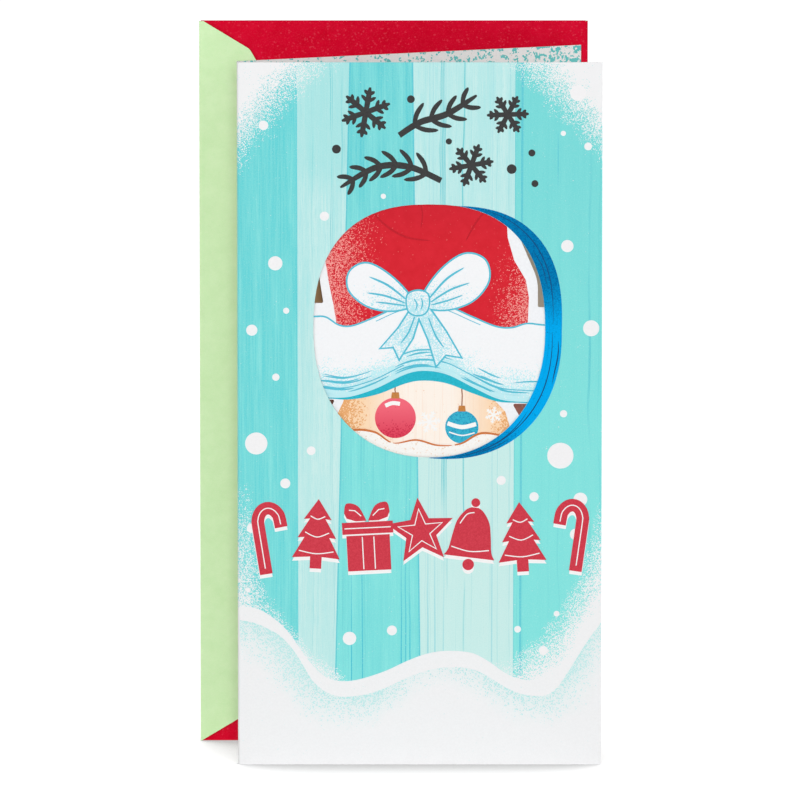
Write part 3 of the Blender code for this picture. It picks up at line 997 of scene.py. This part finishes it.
def snow_paint():
    """White with teal specks that fade downwards from the lower line of the bank."""
    surface = Surface("snow_bank")
    below = surface.attribute("below")
    drift = surface.noise(surface.flat, 0.10).ramp(0.35, 0.65, 0.88, 1.12)
    fade = (1.0 - below / (drift * surface.graph(UNDER_REACH, 20.0))).clamped()
    crowd = surface.graph(UNDER_SHARE, 1.0) * (below > 0.0)
    teal = surface.mix(below.ramp(0.0, 7.0, 1.0, 0.0), (196, 234, 234), (172, 226, 226))
    return surface.paint(
        surface.mottled(WHITE_STOCK, 2, 0.5),
        (surface.spatter(fade**1.2 * (crowd * 0.60), 0.25), teal),
        (fade**1.3 * (crowd * 0.55), (200, 236, 234)),
    )


def make_snow():
    """The bank of snow along the lower edge, and the flakes."""
    columns = [PRINT_X0 + (CARD_W - 0.02 - PRINT_X0) * i / 188 for i in range(189)]
    top, under = curve(SNOW_TOP, steps=10), curve(SNOW_UNDER, steps=10)
    tops, unders = ([height_at(line, x) for x in columns] for line in (top, under))
    rails = [list(zip(columns, tops))]
    for fall in (0.0, 2.0, 5.0, 9.0, 14.0):
        rails.append([(x, z - fall * z / 40) for x, z in zip(columns, unders)])
    rails.append([(x, 0.02) for x in columns])
    attributes = {"below": lambda row, column, z: unders[column] - z}
    COVER.print_strip("cover_snow_bank", rails, 1, snow_paint(), attributes)

    flakes = (
        (6.6, 167.8, 1.25), (83.9, 165.7, 0.68), (90.3, 162.3, 1), (87.7, 176.2, 2.1),
        (37.5, 149.3, 0.68), (22.3, 144.1, 1.2), (9.6, 131.8, 1.85), (12.4, 119.4, 0.8),
        (3.5, 114.3, 1.45), (9.7, 102, 0.95), (4.6, 84.6, 2.9), (18.8, 82.7, 1.15),
        (85, 136.3, 1.6), (91.2, 114.8, 2.1), (84.1, 92.4, 0.95), (83.3, 81.4, 3.4),
        (68, 74.9, 1.2), (12.1, 74.1, 1.3), (3.3, 62.3, 1.2), (76.5, 70.6, 1.2),
        (88.5, 69.9, 1.8), (87.3, 60.7, 1.5), (82.4, 39.8, 0.75), (72.3, 35.7, 0.88),
        (79, 30.1, 1.2), (28.7, 33.3, 1.75), (39.7, 35.4, 1.3), (2.4, 46, 0.55),
    )
    shapes = [disc(*flake) for flake in flakes]
    COVER.print_shapes("cover_flakes", shapes, 1, ink("flake_white", (243, 242, 243), 2))


def make_cover_motifs():
    """Charcoal sprigs and crystals above the window, and a row of red icons below it."""
    shapes = [
        *flake_strokes(33.0, 171.2, 6.6, 20, 1.45),
        *sprig_strokes([(41.6, 165.2), (47.0, 168.6), (54.0, 170.8), (61.6, 175.6)], 1.7, 7.0, 3.5, 1.25),
        *flake_strokes(69.6, 170.6, 5.4, 2, 1.3),
        *sprig_strokes([(52.4, 153.4), (44.0, 157.0), (35.6, 156.8), (26.4, 151.6)], 1.7, 6.6, 3.5, 1.25),
        *flake_strokes(60.2, 157.4, 5.8, 10, 1.35),
    ]
    for dot in (
        (70.6, 156.4, 1.25), (75.8, 160.6, 0.9), (44.6, 174.6, 1), (25.4, 161.6, 1.15),
        (76.6, 152.6, 0.9), (54.4, 163.6, 0.8),
    ):
        shapes.append(disc(*dot))
    COVER.print_shapes("cover_motif_sprigs", shapes, 1, ink("motif_charcoal", (58, 58, 58), 6, 0.5))

    red = ink("motif_red", (206, 56, 72), 9, 0.35)
    white = ink("motif_white", (246, 244, 244), 2)
    icons, lines, rings = red_icons()
    COVER.print_shapes("cover_motif_shadows", [moved(outline, 0.0, -0.95) for outline in icons], 1, white)
    COVER.print_shapes("cover_motif_icons", icons, 2, red)
    COVER.print_shapes("cover_motif_inlines", lines, 3, white, rings)


def red_icons():
    """Holiday shapes in a row: their outlines, thin lines inside them, and thin closed lines."""
    icons, lines, rings = [], [], []

    def add(outline, place, line_inset=None):
        placed = moved(outline, *place)
        if area(placed) < 0:
            placed = placed[::-1]
        icons.append(placed)
        if line_inset:
            rings.append((inset(placed, line_inset), inset(placed, line_inset + 0.27)))

    def thin(points, place):
        lines.append(even_stroke(moved(points, *place), 0.28))

    # canes
    for place, side in (((7.6, 59.4, 0.16), 1), ((86.6, 60.2, -0.14), -1)):
        path = [(-1.9 * side, -9.0), (-1.9 * side, -3.0), (-1.9 * side, 4.2)]
        for k in range(1, 10):
            t = math.pi * k / 10
            path.append((-1.9 * side + side * 2.9 * (1 - math.cos(t)), 4.2 + 3.9 * math.sin(t)))
        whole = curve(path + [(3.9 * side, 2.6)], steps=3)
        add(even_stroke(whole, 3.3), place)
        thin(whole[1:-1], place)

    # trees
    half = [(3.6, 4.0), (2.0, 4.2), (5.0, -0.9), (3.2, -0.7), (6.2, -6.2), (1.5, -5.8), (1.5, -8.9)]
    tree = [(0.0, 9.4)] + half + [(-x, z) for x, z in reversed(half)]
    for place in ((20.3, 60.6, -0.05), (73.2, 59.8, 0.06)):
        add(tree, place)
        for reach, high, low in ((1.9, 4.9, 4.1), (3.1, 0.6, -0.6), (4.5, -4.3, -5.0)):
            thin(curve([(-reach, high), (0.0, low), (reach, high)], steps=5), place)

    # parcel
    place = (33.6, 58.6, 0.05)
    for reach, low, high in ((5.6, -7.4, 1.9), (6.6, 2.3, 5.4)):
        add([(-reach, low), (reach, low), (reach, high), (-reach, high)], place)
    for side in (-1, 1):
        loop = curve([(0.2 * side, 5.7), (2.2 * side, 9.6), (5.2 * side, 10.4), (5.9 * side, 7.9)], steps=5)
        add(loop + [(5.3 * side, 6.5), (3.0 * side, 5.7)], place)
        thin([(1.5 * side, 7.0), (3.1 * side, 8.5), (4.6 * side, 8.7)], place)
        thin([(1.5 * side, -7.0), (1.5 * side, 1.5)], place)
    thin([(-6.0, 3.85), (6.0, 3.85)], place)

    # star
    star = []
    for i in range(10):
        radius = 9.0 if i % 2 == 0 else 4.1
        star.append((radius * math.sin(math.pi * i / 5), radius * math.cos(math.pi * i / 5)))
    add(star, (47.2, 61.4, 0.10), 1.35)

    # bell
    place = (60.4, 60.6, -0.12)
    half = curve([(6.6, -6.0), (5.6, -4.2), (5.0, -0.4), (4.2, 3.4), (2.4, 6.2), (0.9, 7.2)], steps=4)
    add(half + [(-x, z) for x, z in reversed(half)], place)
    add(disc(0.0, -7.9, 1.5, 20), place)
    add(disc(0.0, 8.5, 1.15, 16), place)
    thin(curve([(-4.9, -3.6), (0.0, -4.4), (4.9, -3.6)], steps=6), place)
    thin(curve([(-3.4, 2.6), (-1.9, 5.2), (0.0, 5.9)], steps=5), place)
    return icons, lines, rings


# Insert behind the window


def wrap_paint():
    surface = Surface("wrap_red", 0.46)
    x, z = surface.x, surface.z
    left = x.ramp(39.0, 23.0) ** 1.3
    right = (x.ramp(63.5, 75.0) * z.ramp(139.0, 120.0)) ** 1.2
    return surface.paint(
        surface.mottled((215, 29, 45), 4, 2.5),
        (surface.spatter(left.at_least(right) * 0.60, 0.22), (242, 156, 150)),
        (z.ramp(137.0, 148.0, 0.0, 0.45), (196, 24, 44)),
        tooth=0.08,
    )


def kraft_paint():
    surface = Surface("parcel_kraft")
    side = abs(surface.x - 49.2)
    return surface.paint(
        (254, 243, 232),
        (side.ramp(6.0, 17.0), (252, 216, 178)),
        (surface.spatter(side.ramp(15.0, 22.5, 0.0, 0.85), 0.28), (233, 168, 108)),
        (surface.grain(1.9, 0.03).ramp(0.55, 0.75, 0.0, 0.35), (240, 190, 146)),
    )


def ribbon_paint():
    surface = Surface("ribbon_white", 0.42)
    rise = surface.attribute("rise")
    cloud = surface.grain(0.12, 0.5, 3.0, 0.6).ramp(0.3, 0.7, -0.10, 0.10)
    share = (rise + cloud).ramp(0.06, 0.56, 1.0, 0.0) ** 1.35
    strand = surface.noise(surface.point(surface.x * 0.10, rise * 26.0))
    return surface.paint(
        surface.mottled(BOW_WHITE, 2, 0.6),
        (surface.spatter(share, 0.21), (192, 237, 243)),
        (strand.ramp(0.56, 0.66) * rise.ramp(0.34, 0.12, 0.0, 0.55), (168, 222, 232)),
        tooth=0.08,
    )


def bow_paint():
    surface = Surface("bow_white", 0.42)
    near = abs(surface.x - 46.4).ramp(15.0, 1.0, 0.15, 0.75)
    specks = surface.spatter(near * surface.z.ramp(128.5, 119.5), 0.24)
    return surface.paint(surface.mottled(BOW_WHITE, 2, 0.6), (specks, (184, 231, 240)), tooth=0.08)


def bauble_paint():
    surface = Surface("bauble_pink", 0.4)
    rise = surface.z - 86.5
    specks = surface.spatter(rise.ramp(4.5, 0.0, 0.0, 0.5), 0.28)
    return surface.paint(
        (222, 62, 88), (rise.ramp(0.0, 8.0), (243, 104, 122)), (specks, (206, 46, 74)), tooth=0.06
    )


def make_insert_art():
    """A wrapped parcel: red wrap above, a wide white ribbon with a bow, kraft and baubles below."""
    wrap = [
        (25.9, 113), (24.6, 120.8), (23.4, 126.8), (22.6, 131.8), (21, 140), (19.6, 150.4),
        (66.4, 150.4), (69.4, 142), (69.6, 138.4), (71.3, 132.4), (74.3, 127.3), (75.1, 122.8), (74.7, 113),
    ]
    INSERT.print_shapes("insert_wrap", [wrap], 1, wrap_paint())
    creases = [
        stroke(curve([(33.0, 147.6), (37.4, 142.2), (43.2, 138.6), (49.6, 137.6)], steps=6), 0.55),
        stroke(curve([(66.6, 148.0), (62.0, 143.2), (58.8, 137.6)], steps=6), 0.5),
        stroke(curve([(46.8, 148.4), (47.6, 144.6), (47.2, 141.0)], steps=6), 0.4),
    ]
    INSERT.print_shapes("insert_wrap_creases", creases, 2, ink("wrap_crease", (192, 24, 40), 6))
    kraft = [
        (27.2, 101), (27.2, 95.6), (25.7, 92.4), (25.2, 88), (25.2, 77.4), (71, 77.4),
        (70.6, 86), (69.9, 90), (69, 92.9), (66.6, 95.4), (66.4, 101),
    ]
    INSERT.print_shapes("insert_kraft", [kraft], 1, kraft_paint())

    mound = curve([
        (25.6, 85.8), (30, 88), (35.4, 87.4), (40, 84.6), (46, 85.4), (51.6, 84),
        (57.4, 84.4), (63, 87.2), (70.4, 86),
    ])
    snow = ink("parcel_snow", (250, 247, 243), 3, 0.5, (240, 214, 190), 0.10)
    INSERT.print_shapes("insert_snow_mound", [mound + [(70.4, 77.6), (25.6, 77.6)]], 3, snow)
    twine = [
        stroke(mound[:24], 0.55, (0.2, 0.5)),
        stroke(mound[24:46], 0.45, (0.3, 0.3)),
        stroke(mound[46:], 0.55, (0.5, 0.2)),
    ]
    INSERT.print_shapes("insert_snow_line", twine, 4, ink("parcel_line", (206, 118, 62), 8))

    top = curve([
        (12.2, 117.4), (19.4, 117.8), (22.6, 117.7), (26, 115.6), (29.4, 115.4), (34.7, 117.4),
        (41.7, 120.5), (47.6, 121.6), (53.5, 120.8), (60.4, 117.8), (66.4, 115.3), (70.6, 114.9),
        (74.6, 116), (79, 115.6), (86.6, 115.4),
    ])
    low = curve([
        (12.2, 96.9), (22.9, 96.4), (28.8, 96.6), (35.7, 98.8), (43, 102.4), (48, 103.4),
        (54, 102.4), (61, 98.9), (67.6, 95.9), (74.5, 95.2), (80.5, 95.2), (86.6, 95.6),
    ])
    columns, rows = 96, 9
    top, low = evenly(top, columns), evenly(low, columns)
    attributes = {"rise": lambda row, column, z: row / (rows - 1)}
    INSERT.print_strip("insert_ribbon", rails_between(low, top, rows), 2, ribbon_paint(), attributes)

    hems = []
    for line, lift, width in (
        (top, -0.05, 0.42), (top[30:46], -1.25, 0.20), (top[50:66], -1.25, 0.20),
        (low[12:40], 2.7, 0.26), (low[46:84], 3.2, 0.26),
    ):
        hems.append(even_stroke([(x, z + lift) for x, z in line], width))
    dice = random.Random(11)
    for first, last, count in ((6, 34, 7), (34, 62, 6), (56, 90, 8)):
        for k in range(count):
            start = dice.randint(first, last - 12)
            stop = min(start + dice.randint(8, 18), last)
            share = 0.05 + 0.27 * (k + dice.random()) / count
            drop = dice.uniform(-0.03, 0.03)
            line = []
            for i in range(start, stop + 1):
                line.append(between(low[i], top[i], share + drop * (i - start) / (stop - start)))
            hems.append(stroke(line, dice.uniform(0.34, 0.55), (0.15, 0.1)))
    cyan = ink("ribbon_cyan", (88, 192, 214), 6)
    INSERT.print_shapes("insert_ribbon_hems", hems, 3, cyan)

    edge = [(x, z + 0.15) for x, z in low]
    for x, z in reversed(low):
        depth = 0.25 + 2.3 * math.sin(math.pi * min(max((x - 24) / 48, 0.0), 1.0)) ** 1.4
        edge.append((x, z - depth + 0.15))
    INSERT.print_shapes("insert_ribbon_shade", [edge], 3, ink("ribbon_turquoise", (36, 182, 203), 8))
    make_bow(cyan)
    make_baubles()


def make_bow(cyan):
    shapes = [
        curve([
            (45, 121.4), (40.2, 127.6), (33.6, 131.6), (29, 129.6), (28.7, 124.8),
            (33.4, 120.6), (40, 119.4),
        ], True, 6),
        curve([
            (47.4, 121.4), (51.6, 129), (58.2, 134), (63.6, 132.6), (64.6, 127.2),
            (60.4, 121.9), (53.2, 119.6),
        ], True, 6),
        [
            (45, 120.2), (41.4, 114.6), (37, 109.6), (40.2, 109.9), (41.6, 106.8),
            (45, 112.2), (47, 118.8),
        ],
        [
            (46.2, 118.8), (49.2, 111.8), (51.2, 105), (53.6, 107.9), (57.4, 107.2),
            (53.6, 113.8), (49, 120.4),
        ],
    ]
    knot = curve([
        (43.6, 121.4), (44, 123.6), (46.4, 124.5), (48.8, 123.7),
        (49.2, 121.2), (48.4, 118.9), (46.2, 118.2), (44.2, 119.1),
    ], True, 4)
    folds = []
    for points, width in (
        ([(43.2, 122.4), (38.6, 126), (33.8, 128.2)], 0.55),
        ([(43, 121.4), (38, 123.2), (33.2, 124)], 0.50),
        ([(43.2, 120.6), (39, 121.2), (35.6, 121.6)], 0.42),
        ([(49.4, 122.6), (53.8, 127.6), (58.4, 130.6)], 0.55),
        ([(49.8, 121.6), (54.8, 124.8), (59.8, 126.6)], 0.50),
        ([(49.8, 120.8), (54.2, 122), (58, 123.4)], 0.42),
        ([(45.6, 117.8), (44, 113.6), (42, 110.8)], 0.42),
        ([(49.2, 117.4), (51, 112.8), (53.2, 109.6)], 0.42),
        ([(45.4, 122.4), (46.2, 121), (45.8, 119.4)], 0.36),
        ([(47.4, 122.6), (47.6, 121), (47.2, 119.6)], 0.36),
    ):
        folds.append(stroke(curve(points, steps=5), width, (0.5, 0.1)))
    white = bow_paint()
    INSERT.print_shapes("insert_bow_outline", [inset(shape, -0.46) for shape in shapes], 4, cyan)
    INSERT.print_shapes("insert_bow", shapes, 5, white)
    INSERT.print_shapes("insert_bow_knot_outline", [inset(knot, -0.42)], 6, cyan)
    INSERT.print_shapes("insert_bow_knot", [knot], 7, white)
    INSERT.print_shapes("insert_bow_folds", folds, 8, cyan)


def make_baubles():
    INSERT.print_shapes("insert_bauble_pink", [disc(40.6, 91.2, 5.3, 48)], 2, bauble_paint())
    blue = ink("bauble_blue", (52, 178, 206), 8, 0.5, (36, 150, 190), 0.3)
    INSERT.print_shapes("insert_bauble_blue", [disc(57.8, 88.8, 4.3, 44)], 2, blue)
    caps = [
        [(39.5, 96.3), (41.7, 96.3), (41.5, 97.9), (39.7, 97.9)],
        [(56.8, 92.9), (58.8, 92.9), (58.6, 94.4), (57, 94.4)],
    ]
    INSERT.print_shapes("insert_bauble_caps", caps, 3, ink("bauble_cap", (196, 128, 66), 10))
    threads = [
        even_stroke([(40.6, 97.8), (40.5, 98.6), (40.6, 99.6)], 0.28),
        even_stroke([(57.8, 94.3), (57.9, 97.0), (57.7, 99.8)], 0.28),
    ]
    INSERT.print_shapes("insert_bauble_threads", threads, 2, ink("bauble_thread", (150, 84, 52), 8))
    glints = [
        even_stroke(curve([(38.0, 94.4), (39.8, 95.1), (41.8, 94.9)], steps=6), 1.05),
        even_stroke(curve([(54.1, 89.8), (57.8, 88.8), (61.5, 89.6)], steps=6), 1.1),
        even_stroke(curve([(54.5, 87.5), (57.8, 86.6), (61.1, 87.3)], steps=6), 0.34),
        *flake_strokes(49.4, 90.2, 3.1, 8, 0.55),
        *flake_strokes(66.0, 92.0, 2.3, 20, 0.46),
        *flake_strokes(32.0, 81.6, 2.1, 2, 0.42),
    ]
    INSERT.print_shapes("insert_bauble_glints", glints, 5, ink("glint_white", (250, 248, 246), 2))


# Spine and pocket


def fold_wall(side, middle):
    """A wall of the fold: the cover's side, the middle and the mirrored rear, turned with the leaf."""
    path = [(x, -y, 0.0) for x, y in side] + [(middle, 0.0, 0.5)] + [(x, y, 1.0) for x, y in reversed(side)]
    out = []
    for x, y, share in path:
        if abs(y) < 0.7:
            share = 0.5 + 0.5 * y / 0.7
        cosine, sine = math.cos(AJAR * share), math.sin(AJAR * share)
        out.append((x * cosine - y * sine, x * sine + y * cosine))
    return out


def make_spine():
    """The scored fold: one bent strip that joins the two leaves."""
    side = [(1.1, 1.122), (0.7, 1.121), (0.40, 1.10), (0.16, 1.00), (0.0, 0.82), (-0.08, 0.58), (-0.12, 0.30)]
    outer = fold_wall(side, -0.13)
    side = [(1.1, 0.93), (0.7, 0.90), (0.45, 0.80), (0.34, 0.64), (0.27, 0.46), (0.23, 0.30), (0.21, 0.15)]
    ring = outer + fold_wall(side, 0.20)[::-1]
    builder = bmesh.new()
    rows = []
    for step in range(25):
        z = CARD_H * step / 24
        rows.append([builder.verts.new((SPINE.x + x * MM, SPINE.y + y * MM, z * MM)) for x, y in ring])
    for lower, upper in zip(rows, rows[1:]):
        join_rings(builder, lower, upper)
    for index, face in enumerate(builder.faces):
        face.material_index = 0 if index % len(ring) < len(outer) - 1 else 1
    for row in (rows[0], rows[-1]):
        builder.faces.new(row).material_index = 2
    cut_large_faces(builder)
    inside = Surface("spine_inside")
    looks = [
        plank_print("spine_print", 1.90, False),
        inside.paint(inside.mix(0.5, fleck_print(inside), (244, 242, 240))),
        plain_stock("spine_edge", (238, 237, 234)),
    ]
    piece = finish_mesh(builder, "spine_fold", looks, None, True)
    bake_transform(piece)
    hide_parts("spine_crease")


def make_pocket_print():
    """A thin frame and snow crystals printed on the banknote pocket."""
    outer = [(12.5, 10.5), (81.5, 10.5), (81.5, 98.5), (12.5, 98.5)]
    frames = [(outer, inset(outer, 0.55)), (inset(outer, 1.3), inset(outer, 1.6))]
    shapes = flake_strokes(47.0, 55.0, 13.0, 30, 1.5)
    for x, z in ((24.0, 86.0), (70.0, 86.0), (24.0, 24.0), (70.0, 24.0)):
        shapes += flake_strokes(x, z, 5.0, 15, 0.8)
    POCKET.print_shapes("pocket_ornament", shapes, 1, ink("pocket_cream", (222, 200, 176), 8), frames)


# Envelope


def half_turn(steps=8):
    """Sine and cosine of the angles of a half turn, without its start."""
    for k in range(1, steps + 1):
        yield math.sin(math.pi * k / steps), math.cos(math.pi * k / steps)


def make_envelope_sheet():
    """The folded blank as one sheet: address face, two end flaps and the back with its rolled fold."""
    origin = Matrix.Translation(Vector((CREASE_LOW.x, FACE_LOW.y, 0.0)))
    builder = bmesh.new()
    known = {}

    def face(*corners):
        """A face through corners, which it shares with its neighbours."""
        verts = []
        for corner in corners:
            key = tuple(round(value, 5) for value in corner)
            if key not in known:
                known[key] = builder.verts.new(put(origin, *corner))
            verts.append(known[key])
        builder.faces.new(verts)

    left, right = 0.10, ENV_W - SIDE_ROLL
    low, high = END_ROLL, ENV_H - END_ROLL
    flap_left, flap_right = 0.45, right - 0.05
    back_low, back_high = 0.10, ENV_H - 0.10
    side_low, side_high = back_low + 0.05, back_high - 0.05
    outline = [
        (left, low), (flap_left, low), (flap_right, low), (right, side_low),
        (right, side_high), (flap_right, high), (flap_left, high), (left, high),
    ]
    face(*((x, 0.0, z) for x, z in outline))

    # end flaps
    mitre = END_FLAP * math.tan(END_MITRE)
    for sign, level in ((-1, low), (1, high)):
        edge = [(0.0, level)]
        for sine, cosine in half_turn():
            edge.append((END_ROLL - END_ROLL * cosine, level + sign * END_ROLL * sine))
        for (y0, z0), (y1, z1) in zip(edge, edge[1:]):
            face((flap_left, y0, z0), (flap_right, y0, z0), (flap_right, y1, z1), (flap_left, y1, z1))
        deep = level - sign * END_FLAP
        outline = filleted([
            (flap_left, level, 0.0), (flap_right, level, 0.0),
            (flap_right - mitre, deep, 3.0), (flap_left + mitre, deep, 3.0),
        ])
        face(*((x, 2 * END_ROLL, z) for x, z in outline))

    # back panel with its rolled side and its throat
    edge = [(right, 0.0)]
    for sine, cosine in half_turn():
        edge.append((right + SIDE_ROLL * sine, SIDE_ROLL - SIDE_ROLL * cosine))
    for (x0, y0), (x1, y1) in zip(edge, edge[1:]):
        face((x0, y0, side_low), (x1, y1, side_low), (x1, y1, side_high), (x0, y0, side_high))
    outline = filleted([
        (THROAT, back_low, 5.0), (right, side_low, 0.0),
        (right, side_high, 0.0), (THROAT, back_high, 5.0),
        (THROAT, ENV_H - 20.0, 5.0), (THROAT + 4.0, ENV_H - 36.0, 5.0),
        (THROAT + 4.0, 36.0, 5.0), (THROAT, 20.0, 5.0),
    ])
    face(*((x, ENV_T, z) for x, z in outline))

    red = one_sided_paper("envelope_red", RED_PAPER, RED_DOTS)
    green = one_sided_paper("envelope_green", LINING_PAPER, LINING_DOTS)
    cut = Surface("envelope_cut_edge", 0.6)
    inner = cut.x > (CREASE_LOW.x - SPINE.x) / MM + 0.4
    cut_paper = cut.paint((224, 3, 45), (inner, (214, 150, 140)), tooth=0.12)
    papers = [red, green, cut_paper]
    piece = finish_mesh(builder, "envelope_sheet", papers, "envelope")
    in_front = [each for each in piece.data.polygons if each.center.y < FACE_LOW.y + 1e-6]
    if max(in_front, key=lambda each: each.area).normal.y > 0:
        piece.data.flip_normals()
    thick = piece.modifiers.new("thickness", "SOLIDIFY")
    thick.thickness = PAPER_T * MM
    thick.offset = -1.0
    thick.use_even_offset = True
    thick.use_rim = True
    thick.material_offset = 1
    thick.material_offset_rim = 2
    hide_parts("envelope_face", "envelope_back", "envelope_end_flap_upper", "envelope_end_flap_lower")
    make_score(red)


def make_score(paper):
    """The bent edge of the address face at the score, inside the crease strip while the flap lies folded."""
    across = (CREASE_X - 0.06 * MM, CREASE_X + 0.06 * MM)
    # it ends where the round end of the strip begins, so the strip turns past it
    round_end = CREASE_HIGH.y - (CREASE_HIGH.x - CREASE_LOW.x)
    depth = (FACE_HIGH.y - 0.03 * MM, round_end - 0.005 * MM)
    heights = (CREASE_LOW.z + 0.05 * MM, CREASE_HIGH.z - 0.05 * MM)
    builder = bmesh.new()
    bmesh.ops.create_cube(builder, size=1.0)
    for vertex in builder.verts:
        vertex.co = [ends[int(value > 0)] for value, ends in zip(vertex.co, (across, depth, heights))]
    finish_mesh(builder, "envelope_score", [paper], "envelope")


def make_flap():
    """The seal flap with a round hem on its crease, green inside and red outside, and its gum."""
    crease_x = CREASE_X / MM
    flap_y = (FLAP_LOW.y + FLAP_HIGH.y) / 2 / MM
    low, high = FLAP_LOW.z / MM - 0.35, FLAP_HIGH.z / MM + 0.35
    shoulder_drop = (SHOULDER - 0.5) * SHOULDER_SLOPE
    tip_drop = shoulder_drop + (FLAP_DEPTH - SHOULDER) * TIP_SLOPE
    outline = filleted([
        (0.0, low, 0.0), (0.05, low, 0.0),
        (SHOULDER, low + shoulder_drop + 0.3, 2.2), (FLAP_DEPTH, low + tip_drop, 8.0),
        (FLAP_DEPTH, high - tip_drop, 8.0), (13.0, high - shoulder_drop, 2.2),
        (1.0, high, 0.0), (0.0, high, 0.0),
    ], 10)
    half = PAPER_T / 2
    sheet = Sheet("flap", "clear_glue", Matrix.Identity(4), flap_y - half)
    builder = bmesh.new()
    placed = [(crease_x + x, z) for x, z in outline]
    front, back = (sheet.ring(builder, placed, flap_y + y) for y in (-half, half))
    builder.faces.new(front)
    builder.faces.new(back)
    for i in range(len(outline) - 1):
        builder.faces.new((front[i], front[i + 1], back[i + 1], back[i]))
    # the hem: a half round from the front ring to the back ring along the crease
    hem = half + 0.004
    ends = [(front[0], front[-1])]
    for sine, cosine in list(half_turn())[:-1]:
        x = crease_x - hem * sine
        ends.append(sheet.ring(builder, ((x, low), (x, high)), flap_y - hem * cosine))
    ends.append((back[0], back[-1]))
    for (a, b), (c, d) in zip(ends, ends[1:]):
        builder.faces.new((a, c, d, b))
    for cap in zip(*ends):
        builder.faces.new(cap)
    cut_large_faces(builder)
    split = flap_y - SPINE.y / MM
    paper = two_sided_paper("flap_paper", lambda surface: surface.y > split)
    piece = finish_mesh(builder, "seal_flap_sheet", [paper], "flap")
    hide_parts("seal_flap")

    # dried gum along the flap's inner edge
    gum_low = low + tip_drop + 1.5
    slant = 9.0 * TIP_SLOPE
    gum = filleted([
        (crease_x + 13.5, gum_low - slant, 0.8),
        (crease_x + 22.5, gum_low, 8.0),
        (crease_x + 22.5, low + high - gum_low, 8.0),
        (crease_x + 13.5, low + high - gum_low + slant, 0.8),
    ], 8)
    film = sheet.print_shapes("gum_film", [gum], 2, gum_film())
    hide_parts("gum_strip")


def dress_nodes():
    """Gives the solids that stay in view their materials."""
    crease_x = CREASE_X / MM - SPINE.x / MM
    crease_y = (CREASE_LOW.y + CREASE_HIGH.y) / 2 / MM - SPINE.y / MM

    def crease_side(surface):
        """Red inside the crease, with the rear end of the strip."""
        return (surface.y > crease_y) * 0.08 + surface.x > crease_x

    glue = glue_film()
    looks = {
        "front_cover": plank_print("cover_print", 0.05),
        "back_panel": back_print(),
        "window_insert": plain_stock("insert_stock", (243, 244, 247)),
        "money_pocket": pocket_print(),
        "flap_crease": two_sided_paper("crease_paper", crease_side),
    }
    for name, node in frame["nodes"].items():
        node.data.materials.clear()
        node.data.materials.append(looks.get(name, glue))


make_studio()
dress_nodes()
make_spine()
make_window_rim()
make_snow()
make_cover_motifs()
make_insert_art()
make_pocket_print()
make_envelope_sheet()
make_flap()

bpy.context.view_layer.update()
